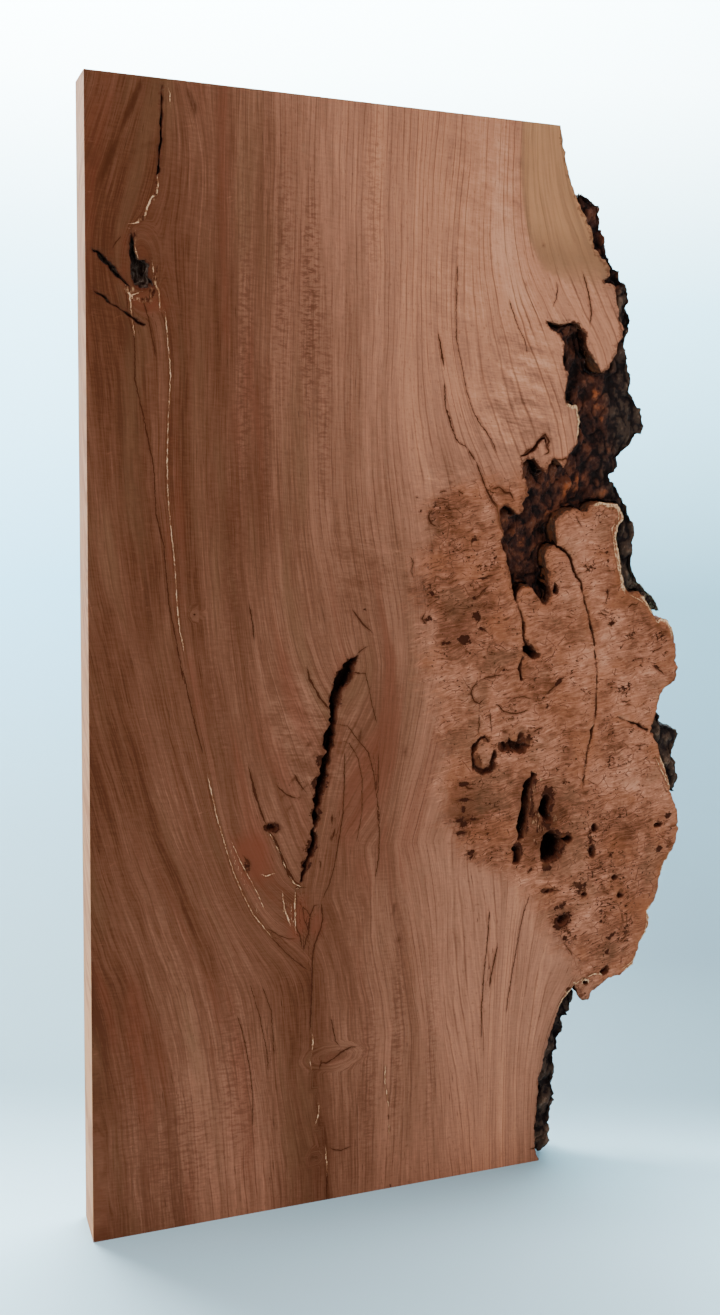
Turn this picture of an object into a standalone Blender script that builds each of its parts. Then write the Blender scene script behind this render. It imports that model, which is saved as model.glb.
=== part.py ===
# Cherry burl slab, standing on its sawn end.
# Metres, +Z up along the grain. The figured face looks toward -Y and the straight sawn edge toward -X.
# The live edge, its burl and what is left of its bark are at +X.
# Outlines are written in millimetres as (x from the sawn edge, z from the bottom end) on the figured face.

from math import cos, hypot, pi, radians, sin

import bmesh
import bpy
from mathutils import Vector, noise

HEIGHT = 914.0
THICKNESS = 40.0
METRES = 0.001

# Depths of the lofted sections, 0 at the figured face and 1 at the back face.
SECTIONS = (0.0, 0.1, 0.3, 0.53, 0.77, 1.0)

# How the live edge changes from the figured face to the back face.
# Nothing moves left of the first value, and everything right of the second moves in full.
STILL_LEFT_OF = 300.0
LOOSE_RIGHT_OF = 345.0
STILL_END = 40.0
BACK_FLARE = 3.0
FLARE_WAVE = 150.0
EDGE_BULGE = 2.2
SWELL_SIZE = 42.0
SWELL_HEIGHT = 4.5
KNOB_SIZE = 12.0
KNOB_HEIGHT = 1.3
KNOB_FULL_DEPTH = 0.35

# Bark: its clearance to the wood, and how deep its rough face lies below the figured face.
BARK_GAP = 0.8
SHARPEST_CORNER = 0.45
CRUST_RECESS = 4.0
BAY_RECESS = 13.0
BACK_RECESS = 1.2
BAY_MOUTH = (425.0, 455.0)
BAY_LOW = (500.0, 530.0)
BAY_HIGH = (735.0, 765.0)

# Furrows in the bark, with their size across and along the trunk.
FURROW_HEIGHT = 3.0
FURROW_ACROSS = 11.0
FURROW_ALONG = 19.0
OUTER_FURROW_ACROSS = 8.0
OUTER_FURROW_ALONG = 26.0

CUTTER_STANDOFF = 2.0
NOISE_SEED = 11

CHERRY = (0.36, 0.17, 0.09)
BARK_BROWN = (0.075, 0.035, 0.022)

CROWN_EDGE = [
    (382.5, 914), (385, 900), (389, 887), (394, 873), (400, 861), (405, 851), (411, 842), (416, 832),
    (420, 820), (425, 815), (430, 811), (436, 805), (436, 800), (431, 796), (430, 793), (440, 793),
    (442, 786), (443, 778), (446, 771), (447, 764), (451, 758), (451, 750), (447, 745), (445, 735),
    (441, 728), (438, 722), (433, 720), (428, 726), (424, 732), (419, 738), (417, 748), (414, 753),
    (408, 759), (402, 761), (396, 758), (390, 757), (377, 760),
]

BAY_WALL = [
    (384, 752), (391, 750), (395, 743), (396, 733), (396, 725), (400, 720), (401, 710), (399, 703),
    (401, 695), (406, 692), (411, 691), (413, 686), (415, 678), (414, 670), (413, 660), (408, 655),
    (405, 648), (402, 640), (391, 648), (388, 642), (385, 636), (380, 638), (375, 645), (372, 648),
    (363, 645), (362, 636), (366, 627), (369, 616), (364, 611), (364, 602), (359, 599), (354, 606),
    (349, 607), (343, 606), (343, 597), (345, 590), (347, 582), (345, 576), (347, 571), (351, 566),
    (352, 558), (355, 548), (358, 540), (359, 530), (362, 524),
]

BAY_FOOT = [
    (363, 533), (367, 538), (373, 539), (378, 536), (382, 531), (386, 525), (391, 523), (395, 529),
    (396, 535), (391, 540), (392, 545), (393, 550), (389, 556), (387, 564), (389, 571), (394, 574),
    (400, 573), (398, 578), (396, 586), (396, 594), (400, 600), (407, 603), (415, 605), (421, 602),
    (426, 602), (429, 608), (436, 611), (445, 609), (455, 609), (460, 602),
]

BURL_EDGE = [
    (462, 596), (458, 590), (455, 582), (458, 573), (461, 560), (464, 548), (468, 536), (472, 530),
    (480, 533), (487, 527), (494, 520), (499, 512), (503, 505), (508, 508), (515, 505), (520, 497),
    (523, 487), (525, 478), (524, 470), (528, 464), (527, 457), (524, 449), (516, 445), (512, 440),
    (509, 428), (507, 417), (503, 408), (505, 402), (510, 395), (514, 385), (518, 377), (520, 370),
    (526, 358), (530, 345), (533, 338), (537, 330), (538, 322), (540, 312), (539, 300), (534, 290),
    (528, 280), (524, 270), (522, 260), (522, 250), (518, 242), (512, 236), (513, 230), (515, 222),
    (512, 212), (506, 205), (505, 198), (503, 190), (500, 183), (493, 178), (487, 174), (475, 172),
    (471, 171),
]

CHIP_LOBE = [
    (469, 168), (465, 165), (459, 162), (456, 157), (454, 154), (448, 154), (445, 157), (442.5, 161),
    (440.5, 167), (439, 170),
]

LOWER_EDGE = [
    (436, 165.5), (430, 159), (425.5, 151), (422, 142.5), (419, 131), (415, 116), (411, 100),
    (409.5, 91), (407.5, 82), (407, 75), (407, 60), (406.5, 47), (406, 34), (407, 20), (407.5, 12),
    (409.5, 6), (412, 0),
]

LIVE_EDGE = CROWN_EDGE + BAY_WALL + BAY_FOOT + BURL_EDGE + CHIP_LOBE + LOWER_EDGE

# Outer outlines of the bark, each read from the lower end up to the upper end.
UPPER_BARK_OUTSIDE = [
    (508, 513), (505, 523), (498, 530), (490, 536), (482, 544), (478, 551), (477, 567), (478, 582),
    (472, 598), (468, 607), (462, 616), (457, 626), (452, 628), (451, 634), (455, 637), (458, 642),
    (458, 649), (467, 658), (473, 666), (479, 669), (481, 676), (479, 682), (478, 690), (472, 697),
    (465, 706), (467, 714), (466, 721), (462, 722), (461, 732), (457, 742), (457, 750), (461, 759),
    (462, 764), (460, 770), (455, 774), (458, 778), (459, 783), (458, 790), (455, 795), (450, 799),
    (448, 806), (442, 808), (439, 815), (435, 821), (433, 829), (429, 835), (427, 843), (427, 851),
    (425, 856), (417, 860), (411, 864), (404, 865),
]

MIDDLE_BARK_OUTSIDE = [
    (536, 343), (538, 350), (538, 361), (535, 364), (535, 371), (532, 382), (535, 391), (536, 400),
    (532, 406), (523, 410), (517, 411), (517, 418), (512, 421),
]

LOWER_BARK_OUTSIDE = [
    (413, 5), (420, 8), (423, 13), (423.5, 20), (423, 29), (424.5, 37), (424.5, 44), (427, 49),
    (428.5, 55), (425.5, 60), (427.5, 62), (427.5, 72), (427, 79), (425, 86), (425, 94), (426, 103),
    (429, 105), (428.5, 109), (430.5, 118), (433, 123), (434, 127), (431, 132), (431, 136), (437, 137),
    (438, 143), (441, 149), (442, 153),
]

# Where each piece of bark starts and ends on the live edge, and the size of the facets of its faces.
UPPER_BARK_SEAT = ((400, 861), (499, 512))
MIDDLE_BARK_SEAT = ((507, 417), (530, 345))
LOWER_BARK_SEAT = ((442.5, 161), (407.5, 12))
UPPER_BARK_CELL = 8.0
SMALL_BARK_CELL = 6.0

# Cracks: depth, then a spine of (x, z, width).
CRACKS = {
    "crotch_crack": (13, [
        (219, 484, 2), (213, 477, 10), (208.5, 467, 14.5), (204, 459, 12), (201, 452, 10.5),
        (199.8, 444, 8), (199, 433, 8), (198.5, 426, 7.5), (196, 419, 11.5), (195.2, 410, 11.5),
        (195.6, 404, 7), (193.5, 398, 9), (192.6, 391, 10), (192.8, 385, 8.5), (189.8, 379, 8.5),
        (188.6, 371, 7), (186.6, 361, 6.5), (185.8, 350, 5.5), (184.4, 338, 5.5), (184, 326, 6.5),
        (180.6, 317, 7), (176.6, 306, 4), (174, 294, 2.5),
    ]),
    "pith_crack": (16, [(56, 908, 1.2), (55.5, 888, 2), (55.8, 872, 2.4), (54, 855, 2), (53, 846, 1.2)]),
    "upper_gash": (9, [(4, 791.5, 1.5), (10, 788, 4), (17, 781, 5), (24, 774, 4.5), (33, 765.5, 1.5)]),
    "lower_gash": (6, [(4, 764, 1), (16, 755.5, 2), (30, 747, 2), (38, 742, 4), (44, 739, 1.5)]),
    "eye_gash": (15, [(388, 374, 7), (381, 362, 9), (380, 346, 9), (378, 330, 10), (377, 314, 6)]),
    "burl_crack": (11, [
        (399, 574, 1.5), (412, 564, 3), (416, 551, 3), (425, 539, 3), (429, 524, 2.5), (435, 506, 3),
        (441, 486, 3), (445, 460, 2.5), (446, 424, 3), (441, 398, 3), (438, 380, 2.5), (437, 360, 1.2),
    ]),
    "bud_crack_above": (9, [(364, 522, 1.2), (370, 506, 3), (371, 494, 3.5), (375, 486, 2.5)]),
    "bud_crack_below": (7, [(371, 478, 3), (368, 468, 3), (371, 457, 1.5)]),
    "shoulder_crack": (7, [
        (360, 648, 1.2), (369, 652, 2.5), (376, 660, 3), (382, 665, 2.5), (385, 657, 1.2),
    ]),
    "outer_crack": (8, [(467, 420, 1.2), (478, 416, 2.5), (491, 411, 3), (501, 406, 1.5)]),
    "ring_pit": (6, [
        (343, 404, 2), (338, 409, 2.2), (332, 406.5, 2.6), (328, 400, 3), (326.5, 391, 4),
        (330, 383, 6), (337, 378, 7.5), (344.5, 380, 8), (347, 388, 5), (347.5, 396, 3.4),
    ]),
}

# Pits: depth, then centre x and z, half width, half height and turn in degrees.
PITS = {
    "branch_spot": (6, 148, 343, 6.5, 4, -18),
    "eye_hole_side": (20, 424, 310, 6, 4.5, 0),
    "bay_pocket": (12, 399.5, 535.5, 3.5, 5.5, 10),
    "burl_pit_a": (9, 424, 234, 8, 6, 25),
    "burl_pit_b": (5, 407, 263, 6, 2.2, 15),
    "burl_pit_c": (5, 444, 256, 4, 3, 0),
    "burl_pit_d": (7, 451, 318, 3.5, 5, 0),
    "burl_pit_e": (7, 450, 296, 4, 6, 10),
    "burl_pit_f": (6, 475, 269, 4, 3, 30),
    "burl_pit_g": (6, 482, 252, 4, 3, -20),
    "burl_pit_h": (7, 518, 316, 6, 3.2, 10),
    "chip_hole": (7, 451, 171, 4.6, 2.4, -20),
    "edge_pit": (8, 471, 180, 4.5, 5.5, -20),
}

# Larger pits with an outline of their own: depth, then the outline.
OUTLINED_PITS = {
    "knot_hole": (11, [
        (32.5, 809), (35, 801), (36, 792), (39, 786), (44, 787), (48.5, 784), (48, 776), (49.5, 771),
        (52.5, 765), (46, 764), (40.5, 762.5), (34.5, 764), (32.5, 773), (32, 782), (31.5, 790), (31, 800),
    ]),
    "castle_pit": (8, [
        (347.7, 398.5), (349, 404), (354, 404.5), (356.5, 401), (359.6, 408.5), (361.7, 404), (368.7, 403.5),
        (370.5, 409), (372.7, 411.7), (377.2, 412), (379, 408), (380, 402.4), (385, 399.5), (385.5, 396.5),
        (380.5, 395.4), (379, 391), (372, 390), (365, 393), (358, 395), (353, 393),
    ]),
    "bud_hole": (14, [
        (370, 487), (374, 488.7), (378, 489), (381, 486.5), (384, 481), (390, 480), (387.5, 477.5),
        (386.6, 475.4), (382, 474.4), (376, 478), (370.5, 482),
    ]),
    "eye_hole_upper": (22, [
        (393.5, 346), (396.8, 353), (402, 354.7), (405.7, 351), (406.8, 345), (405, 339), (407, 332),
        (407.8, 326.2), (401.8, 326), (396.9, 331), (393, 338),
    ]),
    "eye_hole_lower": (24, [
        (398.9, 314.8), (405.6, 322), (412.9, 318.6), (418.5, 315), (420.5, 309), (420.9, 304.7),
        (417.6, 300), (419.7, 293.2), (412.8, 289), (403.9, 288), (397.6, 292), (396, 303.6), (398, 310),
    ]),
    "eye_hole_small": (11, [
        (370, 307.4), (374.4, 310.3), (378, 306.7), (379.6, 298.4), (377.2, 290.4), (373, 288.5),
        (369.4, 292.8), (368.9, 302.6),
    ]),
}

PIT_SIDES = 11
PIT_ROUGHNESS = 0.22

# Width of a crack's or pit's floor as a share of its mouth.
FLOOR_SHARE = 0.45


def remove_everything():
    for item in list(bpy.data.objects):
        bpy.data.objects.remove(item, do_unlink=True)


def new_collection(name):
    group = bpy.data.collections.new(name)
    bpy.context.scene.collection.children.link(group)
    return group


def ramp(start, end, value):
    share = min(max((value - start) / (end - start), 0.0), 1.0)
    return share * share * (3.0 - 2.0 * share)


def live_shift(x, z, depth):
    # A smooth field moves every point of the live side with depth, so wood and bark keep their clearance.
    loose = ramp(STILL_LEFT_OF, LOOSE_RIGHT_OF, x)
    ends = ramp(0, STILL_END, z) * ramp(0, STILL_END, HEIGHT - z)
    swell = noise.noise_vector(Vector((x, depth * THICKNESS, z)) / SWELL_SIZE)
    knob = noise.noise_vector(Vector((x, depth * THICKNESS, z)) / KNOB_SIZE)
    flare = BACK_FLARE * depth * sin(z / FLARE_WAVE) + EDGE_BULGE * sin(pi * depth)
    swell_here = SWELL_HEIGHT * depth
    knob_here = KNOB_HEIGHT * ramp(0, KNOB_FULL_DEPTH, depth)
    across = loose * (flare + swell_here * swell.x + knob_here * knob.x)
    along = loose * ends * (swell_here * swell.z + knob_here * knob.z)
    return across, along


def live_point(x, z, depth):
    across, along = live_shift(x, z, depth)
    return Vector((x + across, (depth - 0.5) * THICKNESS, z + along))


def straight_point(x, z, depth):
    return Vector((x, (depth - 0.5) * THICKNESS, z))


def corner_normal(before, here, after):
    # The outward direction on the live side, lengthened in sharp corners so that the clearance holds.
    first = Vector((here[1] - before[1], before[0] - here[0])).normalized() * -1
    second = Vector((after[1] - here[1], here[0] - after[0])).normalized() * -1
    middle = (first + second).normalized()
    return middle / max(middle.dot(first), SHARPEST_CORNER)


def offset_path(path, gap):
    moved = []
    for index, here in enumerate(path):
        before = path[max(index - 1, 0)]
        after = path[min(index + 1, len(path) - 1)]
        if before == here:
            before = (2 * here[0] - after[0], 2 * here[1] - after[1])
        if after == here:
            after = (2 * here[0] - before[0], 2 * here[1] - before[1])
        normal = corner_normal(before, here, after)
        moved.append((here[0] + gap * normal.x, here[1] + gap * normal.y))
    return moved


def loft(name, sections, group):
    # Rings of equal length are joined in order and both end rings are filled.
    count = len(sections[0])
    points = [point * METRES for ring in sections for point in ring]
    faces = []
    for row in range(len(sections) - 1):
        for column in range(count):
            a = row * count + column
            b = row * count + (column + 1) % count
            faces.append((a, b, b + count))
            faces.append((a, b + count, a + count))
    faces.append(tuple(range(count)))
    faces.append(tuple(range(len(points) - count, len(points))))
    mesh = bpy.data.meshes.new(name)
    mesh.from_pydata([tuple(point) for point in points], [], faces)
    work = bmesh.new()
    work.from_mesh(mesh)
    bmesh.ops.recalc_face_normals(work, faces=work.faces)
    work.to_mesh(mesh)
    work.free()
    item = bpy.data.objects.new(name, mesh)
    group.objects.link(item)
    return item


def hide_as_cutter(item):
    item.hide_render = True
    item.display_type = "WIRE"


def pit_ring(x, z, half_wide, half_high, turn):
    ring = []
    for step in range(PIT_SIDES):
        angle = 2 * pi * step / PIT_SIDES
        rough = 1 + PIT_ROUGHNESS * noise.noise(Vector((x + 3 * cos(angle), z + 3 * sin(angle), step)))
        across = half_wide * rough * cos(angle)
        up = half_high * rough * sin(angle)
        lean = radians(turn)
        ring.append((x + across * cos(lean) - up * sin(lean), z + across * sin(lean) + up * cos(lean)))
    return ring


def crack_ring(spine, share):
    # Runs down one side of the spine and back up the other, at a share of its full width.
    left = []
    right = []
    for index, (x, z, width) in enumerate(spine):
        before = spine[max(index - 1, 0)]
        after = spine[min(index + 1, len(spine) - 1)]
        length = hypot(after[0] - before[0], after[1] - before[1])
        side_x = (after[1] - before[1]) / length
        side_z = -(after[0] - before[0]) / length
        half = width * share / 2
        left.append((x + side_x * half, z + side_z * half))
        right.append((x - side_x * half, z - side_z * half))
    return left + right[::-1]


def shrunk(mouth, x, z):
    return [(x + (px - x) * FLOOR_SHARE, z + (pz - z) * FLOOR_SHARE) for px, pz in mouth]


def cutter(name, mouth, floor, deep, group):
    front = [straight_point(x, z, -CUTTER_STANDOFF / THICKNESS) for x, z in mouth]
    back = [straight_point(x, z, deep / THICKNESS) for x, z in floor]
    item = loft(name, [front, back], group)
    hide_as_cutter(item)
    return item


def make_cutters(group):
    for name, (deep, spine) in CRACKS.items():
        cutter(name, crack_ring(spine, 1.0), crack_ring(spine, FLOOR_SHARE), deep, group)
    for name, (deep, x, z, wide, high, turn) in PITS.items():
        mouth = pit_ring(x, z, wide, high, turn)
        cutter(name, mouth, shrunk(mouth, x, z), deep, group)
    for name, (deep, mouth) in OUTLINED_PITS.items():
        x = sum(point[0] for point in mouth) / len(mouth)
        z = sum(point[1] for point in mouth) / len(mouth)
        cutter(name, mouth, shrunk(mouth, x, z), deep, group)


def make_wood(group, cutters):
    outline = LIVE_EDGE + [(0, 0), (0, HEIGHT)]
    rings = [[live_point(x, z, depth) for x, z in outline] for depth in SECTIONS]
    wood = loft("wood", rings, group)
    cut = wood.modifiers.new("cavities", "BOOLEAN")
    cut.operation = "DIFFERENCE"
    cut.solver = "EXACT"
    cut.operand_type = "COLLECTION"
    cut.collection = cutters
    return wood


def bark_prism(name, seat, outside, group):
    # The seat follows the wood at the bark's clearance. The outside is worn back a little at each depth.
    first = LIVE_EDGE.index(seat[0])
    last = LIVE_EDGE.index(seat[1])
    inside = offset_path(LIVE_EDGE[first:last + 1], BARK_GAP)
    rings = []
    for depth in SECTIONS:
        ring = [live_point(x, z, depth) for x, z in inside]
        for x, z in outside:
            place = Vector((0, depth * THICKNESS / OUTER_FURROW_ACROSS, z / OUTER_FURROW_ALONG))
            wear = FURROW_HEIGHT * abs(noise.noise(place))
            ring.append(live_point(x - wear, z, depth))
        rings.append(ring)
    prism = loft(name, rings, group)
    hide_as_cutter(prism)
    return prism


def bark_face(x, z):
    # Depth of the rough face below the figured face: deep in the bay, shallow on the outer crust.
    bay = (1 - ramp(*BAY_MOUTH, x)) * ramp(*BAY_LOW, z) * (1 - ramp(*BAY_HIGH, z))
    deep = CRUST_RECESS + (BAY_RECESS - CRUST_RECESS) * bay
    return deep + FURROW_HEIGHT * noise.noise(Vector((x / FURROW_ACROSS, 0, z / FURROW_ALONG)))


def bark_back(x, z):
    # Depth of the bark's back below the back face.
    return BACK_RECESS * (1 + noise.noise(Vector((x / FURROW_ACROSS, THICKNESS, z / FURROW_ALONG))))


def make_bark(name, prism, cell, group):
    # A block with a furrowed face is kept only where the bark's outline holds it.
    corners = [vertex.co / METRES for vertex in prism.data.vertices]
    left = min(corner.x for corner in corners) - cell
    right = max(corner.x for corner in corners) + cell
    low = min(corner.z for corner in corners) - cell
    high = max(corner.z for corner in corners) + cell
    columns = round((right - left) / cell)
    rows = round((high - low) / cell)
    work = bmesh.new()
    bmesh.ops.create_grid(work, x_segments=columns, y_segments=rows, size=0.5)
    for vertex in work.verts:
        x = left + (right - left) * (vertex.co.x + 0.5)
        z = low + (high - low) * (vertex.co.y + 0.5)
        vertex.co = Vector((x, bark_face(x, z) - THICKNESS / 2, z)) * METRES
    grown = bmesh.ops.extrude_face_region(work, geom=work.faces[:])
    for vertex in [item for item in grown["geom"] if isinstance(item, bmesh.types.BMVert)]:
        x = vertex.co.x / METRES
        z = vertex.co.z / METRES
        vertex.co.y = (THICKNESS / 2 - bark_back(x, z)) * METRES
    bmesh.ops.triangulate(work, faces=work.faces[:])
    bmesh.ops.recalc_face_normals(work, faces=work.faces)
    mesh = bpy.data.meshes.new(name)
    work.to_mesh(mesh)
    work.free()
    bark = bpy.data.objects.new(name, mesh)
    group.objects.link(bark)
    trim = bark.modifiers.new("outline", "BOOLEAN")
    trim.operation = "INTERSECT"
    trim.solver = "EXACT"
    trim.object = prism
    return bark


def centre_on_origin(items, extent):
    for item in items:
        for vertex in item.data.vertices:
            vertex.co.x -= extent / 2


def finish(item, colour, roughness):
    material = bpy.data.materials.new(item.name + " surface")
    material.use_nodes = True
    shader = material.node_tree.nodes["Principled BSDF"]
    shader.inputs["Base Color"].default_value = (*colour, 1)
    shader.inputs["Roughness"].default_value = roughness
    shader.inputs["Metallic"].default_value = 0
    item.data.materials.append(material)


def build():
    remove_everything()
    noise.seed_set(NOISE_SEED)
    slab = new_collection("cherry burl slab")
    hollows = new_collection("hollow cutters")
    outlines = new_collection("bark outlines")
    make_cutters(hollows)
    wood = make_wood(slab, hollows)
    prisms = [
        bark_prism("outline_upper", UPPER_BARK_SEAT, UPPER_BARK_OUTSIDE, outlines),
        bark_prism("outline_middle", MIDDLE_BARK_SEAT, MIDDLE_BARK_OUTSIDE, outlines),
        bark_prism("outline_lower", LOWER_BARK_SEAT, LOWER_BARK_OUTSIDE, outlines),
    ]
    barks = [
        make_bark("bark_upper", prisms[0], UPPER_BARK_CELL, slab),
        make_bark("bark_middle", prisms[1], SMALL_BARK_CELL, slab),
        make_bark("bark_lower", prisms[2], SMALL_BARK_CELL, slab),
    ]
    reach = max(vertex.co.x for item in [wood] + prisms for vertex in item.data.vertices)
    centre_on_origin([wood] + barks + prisms + list(hollows.objects), reach)
    finish(wood, CHERRY, 0.55)
    for bark in barks:
        finish(bark, BARK_BROWN, 0.9)


build()
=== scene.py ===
import math

import bpy
import numpy as np
from mathutils import Matrix, Vector, kdtree, noise


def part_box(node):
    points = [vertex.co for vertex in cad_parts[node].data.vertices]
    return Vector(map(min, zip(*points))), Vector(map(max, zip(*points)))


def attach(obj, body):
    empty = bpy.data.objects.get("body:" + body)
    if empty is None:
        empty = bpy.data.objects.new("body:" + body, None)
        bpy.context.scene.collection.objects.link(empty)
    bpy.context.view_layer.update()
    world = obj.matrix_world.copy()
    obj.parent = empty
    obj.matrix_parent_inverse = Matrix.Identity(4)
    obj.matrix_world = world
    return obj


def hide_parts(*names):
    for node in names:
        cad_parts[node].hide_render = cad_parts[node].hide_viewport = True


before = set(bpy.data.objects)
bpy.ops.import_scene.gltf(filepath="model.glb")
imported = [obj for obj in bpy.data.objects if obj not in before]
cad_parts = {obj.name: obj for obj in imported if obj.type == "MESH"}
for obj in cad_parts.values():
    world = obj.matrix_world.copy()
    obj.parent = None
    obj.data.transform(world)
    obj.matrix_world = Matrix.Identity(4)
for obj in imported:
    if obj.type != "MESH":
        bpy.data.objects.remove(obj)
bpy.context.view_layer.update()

mm = 0.001
noise.seed_set(5)

# Places on the figured face are (x, z) in mm: x from the sawn edge, z from the bottom end.
woodLow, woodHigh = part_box("wood")
slab = {
    "left": woodLow.x,
    "front": woodLow.y,
    "back": woodHigh.y,
    "height": woodHigh.z / mm,
    "thickness": (woodHigh.y - woodLow.y) / mm,
}
print("slab box", [round(v / mm, 1) for v in (*woodLow, *woodHigh)])


# Small helpers.

def deselectAll():
    if bpy.context.mode != "OBJECT":
        bpy.ops.object.mode_set(mode="OBJECT")
    bpy.ops.object.select_all(action="DESELECT")


def pick(piece):
    deselectAll()
    piece.select_set(True)
    bpy.context.view_layer.objects.active = piece


def pointsOf(mesh):
    found = np.empty(len(mesh.vertices) * 3, np.float32)
    mesh.vertices.foreach_get("co", found)
    return found.reshape(-1, 3).astype(float)


def putPoints(mesh, points):
    mesh.vertices.foreach_set("co", points.astype(np.float32).ravel())
    mesh.update()


def faceFacts(mesh):
    count = len(mesh.polygons)
    centres = np.empty(count * 3, np.float32)
    normals = np.empty(count * 3, np.float32)
    mesh.polygons.foreach_get("center", centres)
    mesh.polygons.foreach_get("normal", normals)
    return centres.reshape(-1, 3).astype(float), normals.reshape(-1, 3).astype(float)


def vertexNormals(mesh):
    found = np.empty(len(mesh.vertices) * 3, np.float32)
    mesh.vertices.foreach_get("normal", found)
    return found.reshape(-1, 3).astype(float)


def selectFaces(piece, chosen):
    mesh = piece.data
    mesh.vertices.foreach_set("select", np.zeros(len(mesh.vertices), bool))
    mesh.edges.foreach_set("select", np.zeros(len(mesh.edges), bool))
    mesh.polygons.foreach_set("select", chosen.astype(bool))
    mesh.update()


def selectVertices(piece, chosen):
    mesh = piece.data
    mesh.polygons.foreach_set("select", np.zeros(len(mesh.polygons), bool))
    mesh.edges.foreach_set("select", np.zeros(len(mesh.edges), bool))
    mesh.vertices.foreach_set("select", chosen.astype(bool))
    mesh.update()


def editFaces(piece, chosen, operator, **options):
    pick(piece)
    selectFaces(piece, chosen)
    bpy.ops.object.mode_set(mode="EDIT")
    bpy.ops.mesh.select_mode(type="FACE")
    operator(**options)
    bpy.ops.object.mode_set(mode="OBJECT")


def applyModifier(piece, kind, **settings):
    pick(piece)
    modifier = piece.modifiers.new(kind, kind)
    for key, value in settings.items():
        setattr(modifier, key, value)
    bpy.ops.object.modifier_apply(modifier=modifier.name)


def giveAttribute(mesh, name, values):
    attribute = mesh.attributes.new(name, "FLOAT", "POINT")
    attribute.data.foreach_set("value", values.astype(np.float32))


def ease(low, high, value):
    share = np.clip((value - low) / (high - low), 0, 1)
    return share * share * (3 - 2 * share)


def slabCoords(points):
    # Back from metres in the frame to x, z and depth in mm.
    return (points[:, 0] - slab["left"]) / mm, points[:, 2] / mm, (points[:, 1] - slab["front"]) / mm


def bumps(x, y, z, size, seed=0.0):
    # One octave of noise, from -1 to 1, on points given in mm.
    return np.array([noise.noise((a / size + seed, b / size, c / size)) for a, b, c in zip(x, y, z)])


def curveAlongHeight(pairs, heights):
    pairs = sorted(pairs)
    return np.interp(heights, [p[0] for p in pairs], [p[1] for p in pairs])


# The way the growth rings run over the face, each line from the top down as (z, x).
# ring is the place in the ring count, in mm of growth from the pith.
# tone goes from 0, dark heartwood, to 1, pinkish tan.

crackLine = [(914, 180), (700, 182), (600, 190), (560, 198), (530, 205), (500, 212), (485, 218),
             (477, 213), (467, 208), (459, 204), (452, 201), (444, 200), (433, 199), (419, 196),
             (404, 195.5), (391, 192.5), (379, 190), (371, 188.5), (361, 186.5), (350, 185.8),
             (338, 184.4), (326, 184), (317, 180.5), (306, 176.5), (294, 174), (280, 175), (262, 179),
             (250, 181), (238, 184), (214, 186), (160, 186), (117, 187), (74, 193), (49, 200), (0, 203)]

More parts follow.
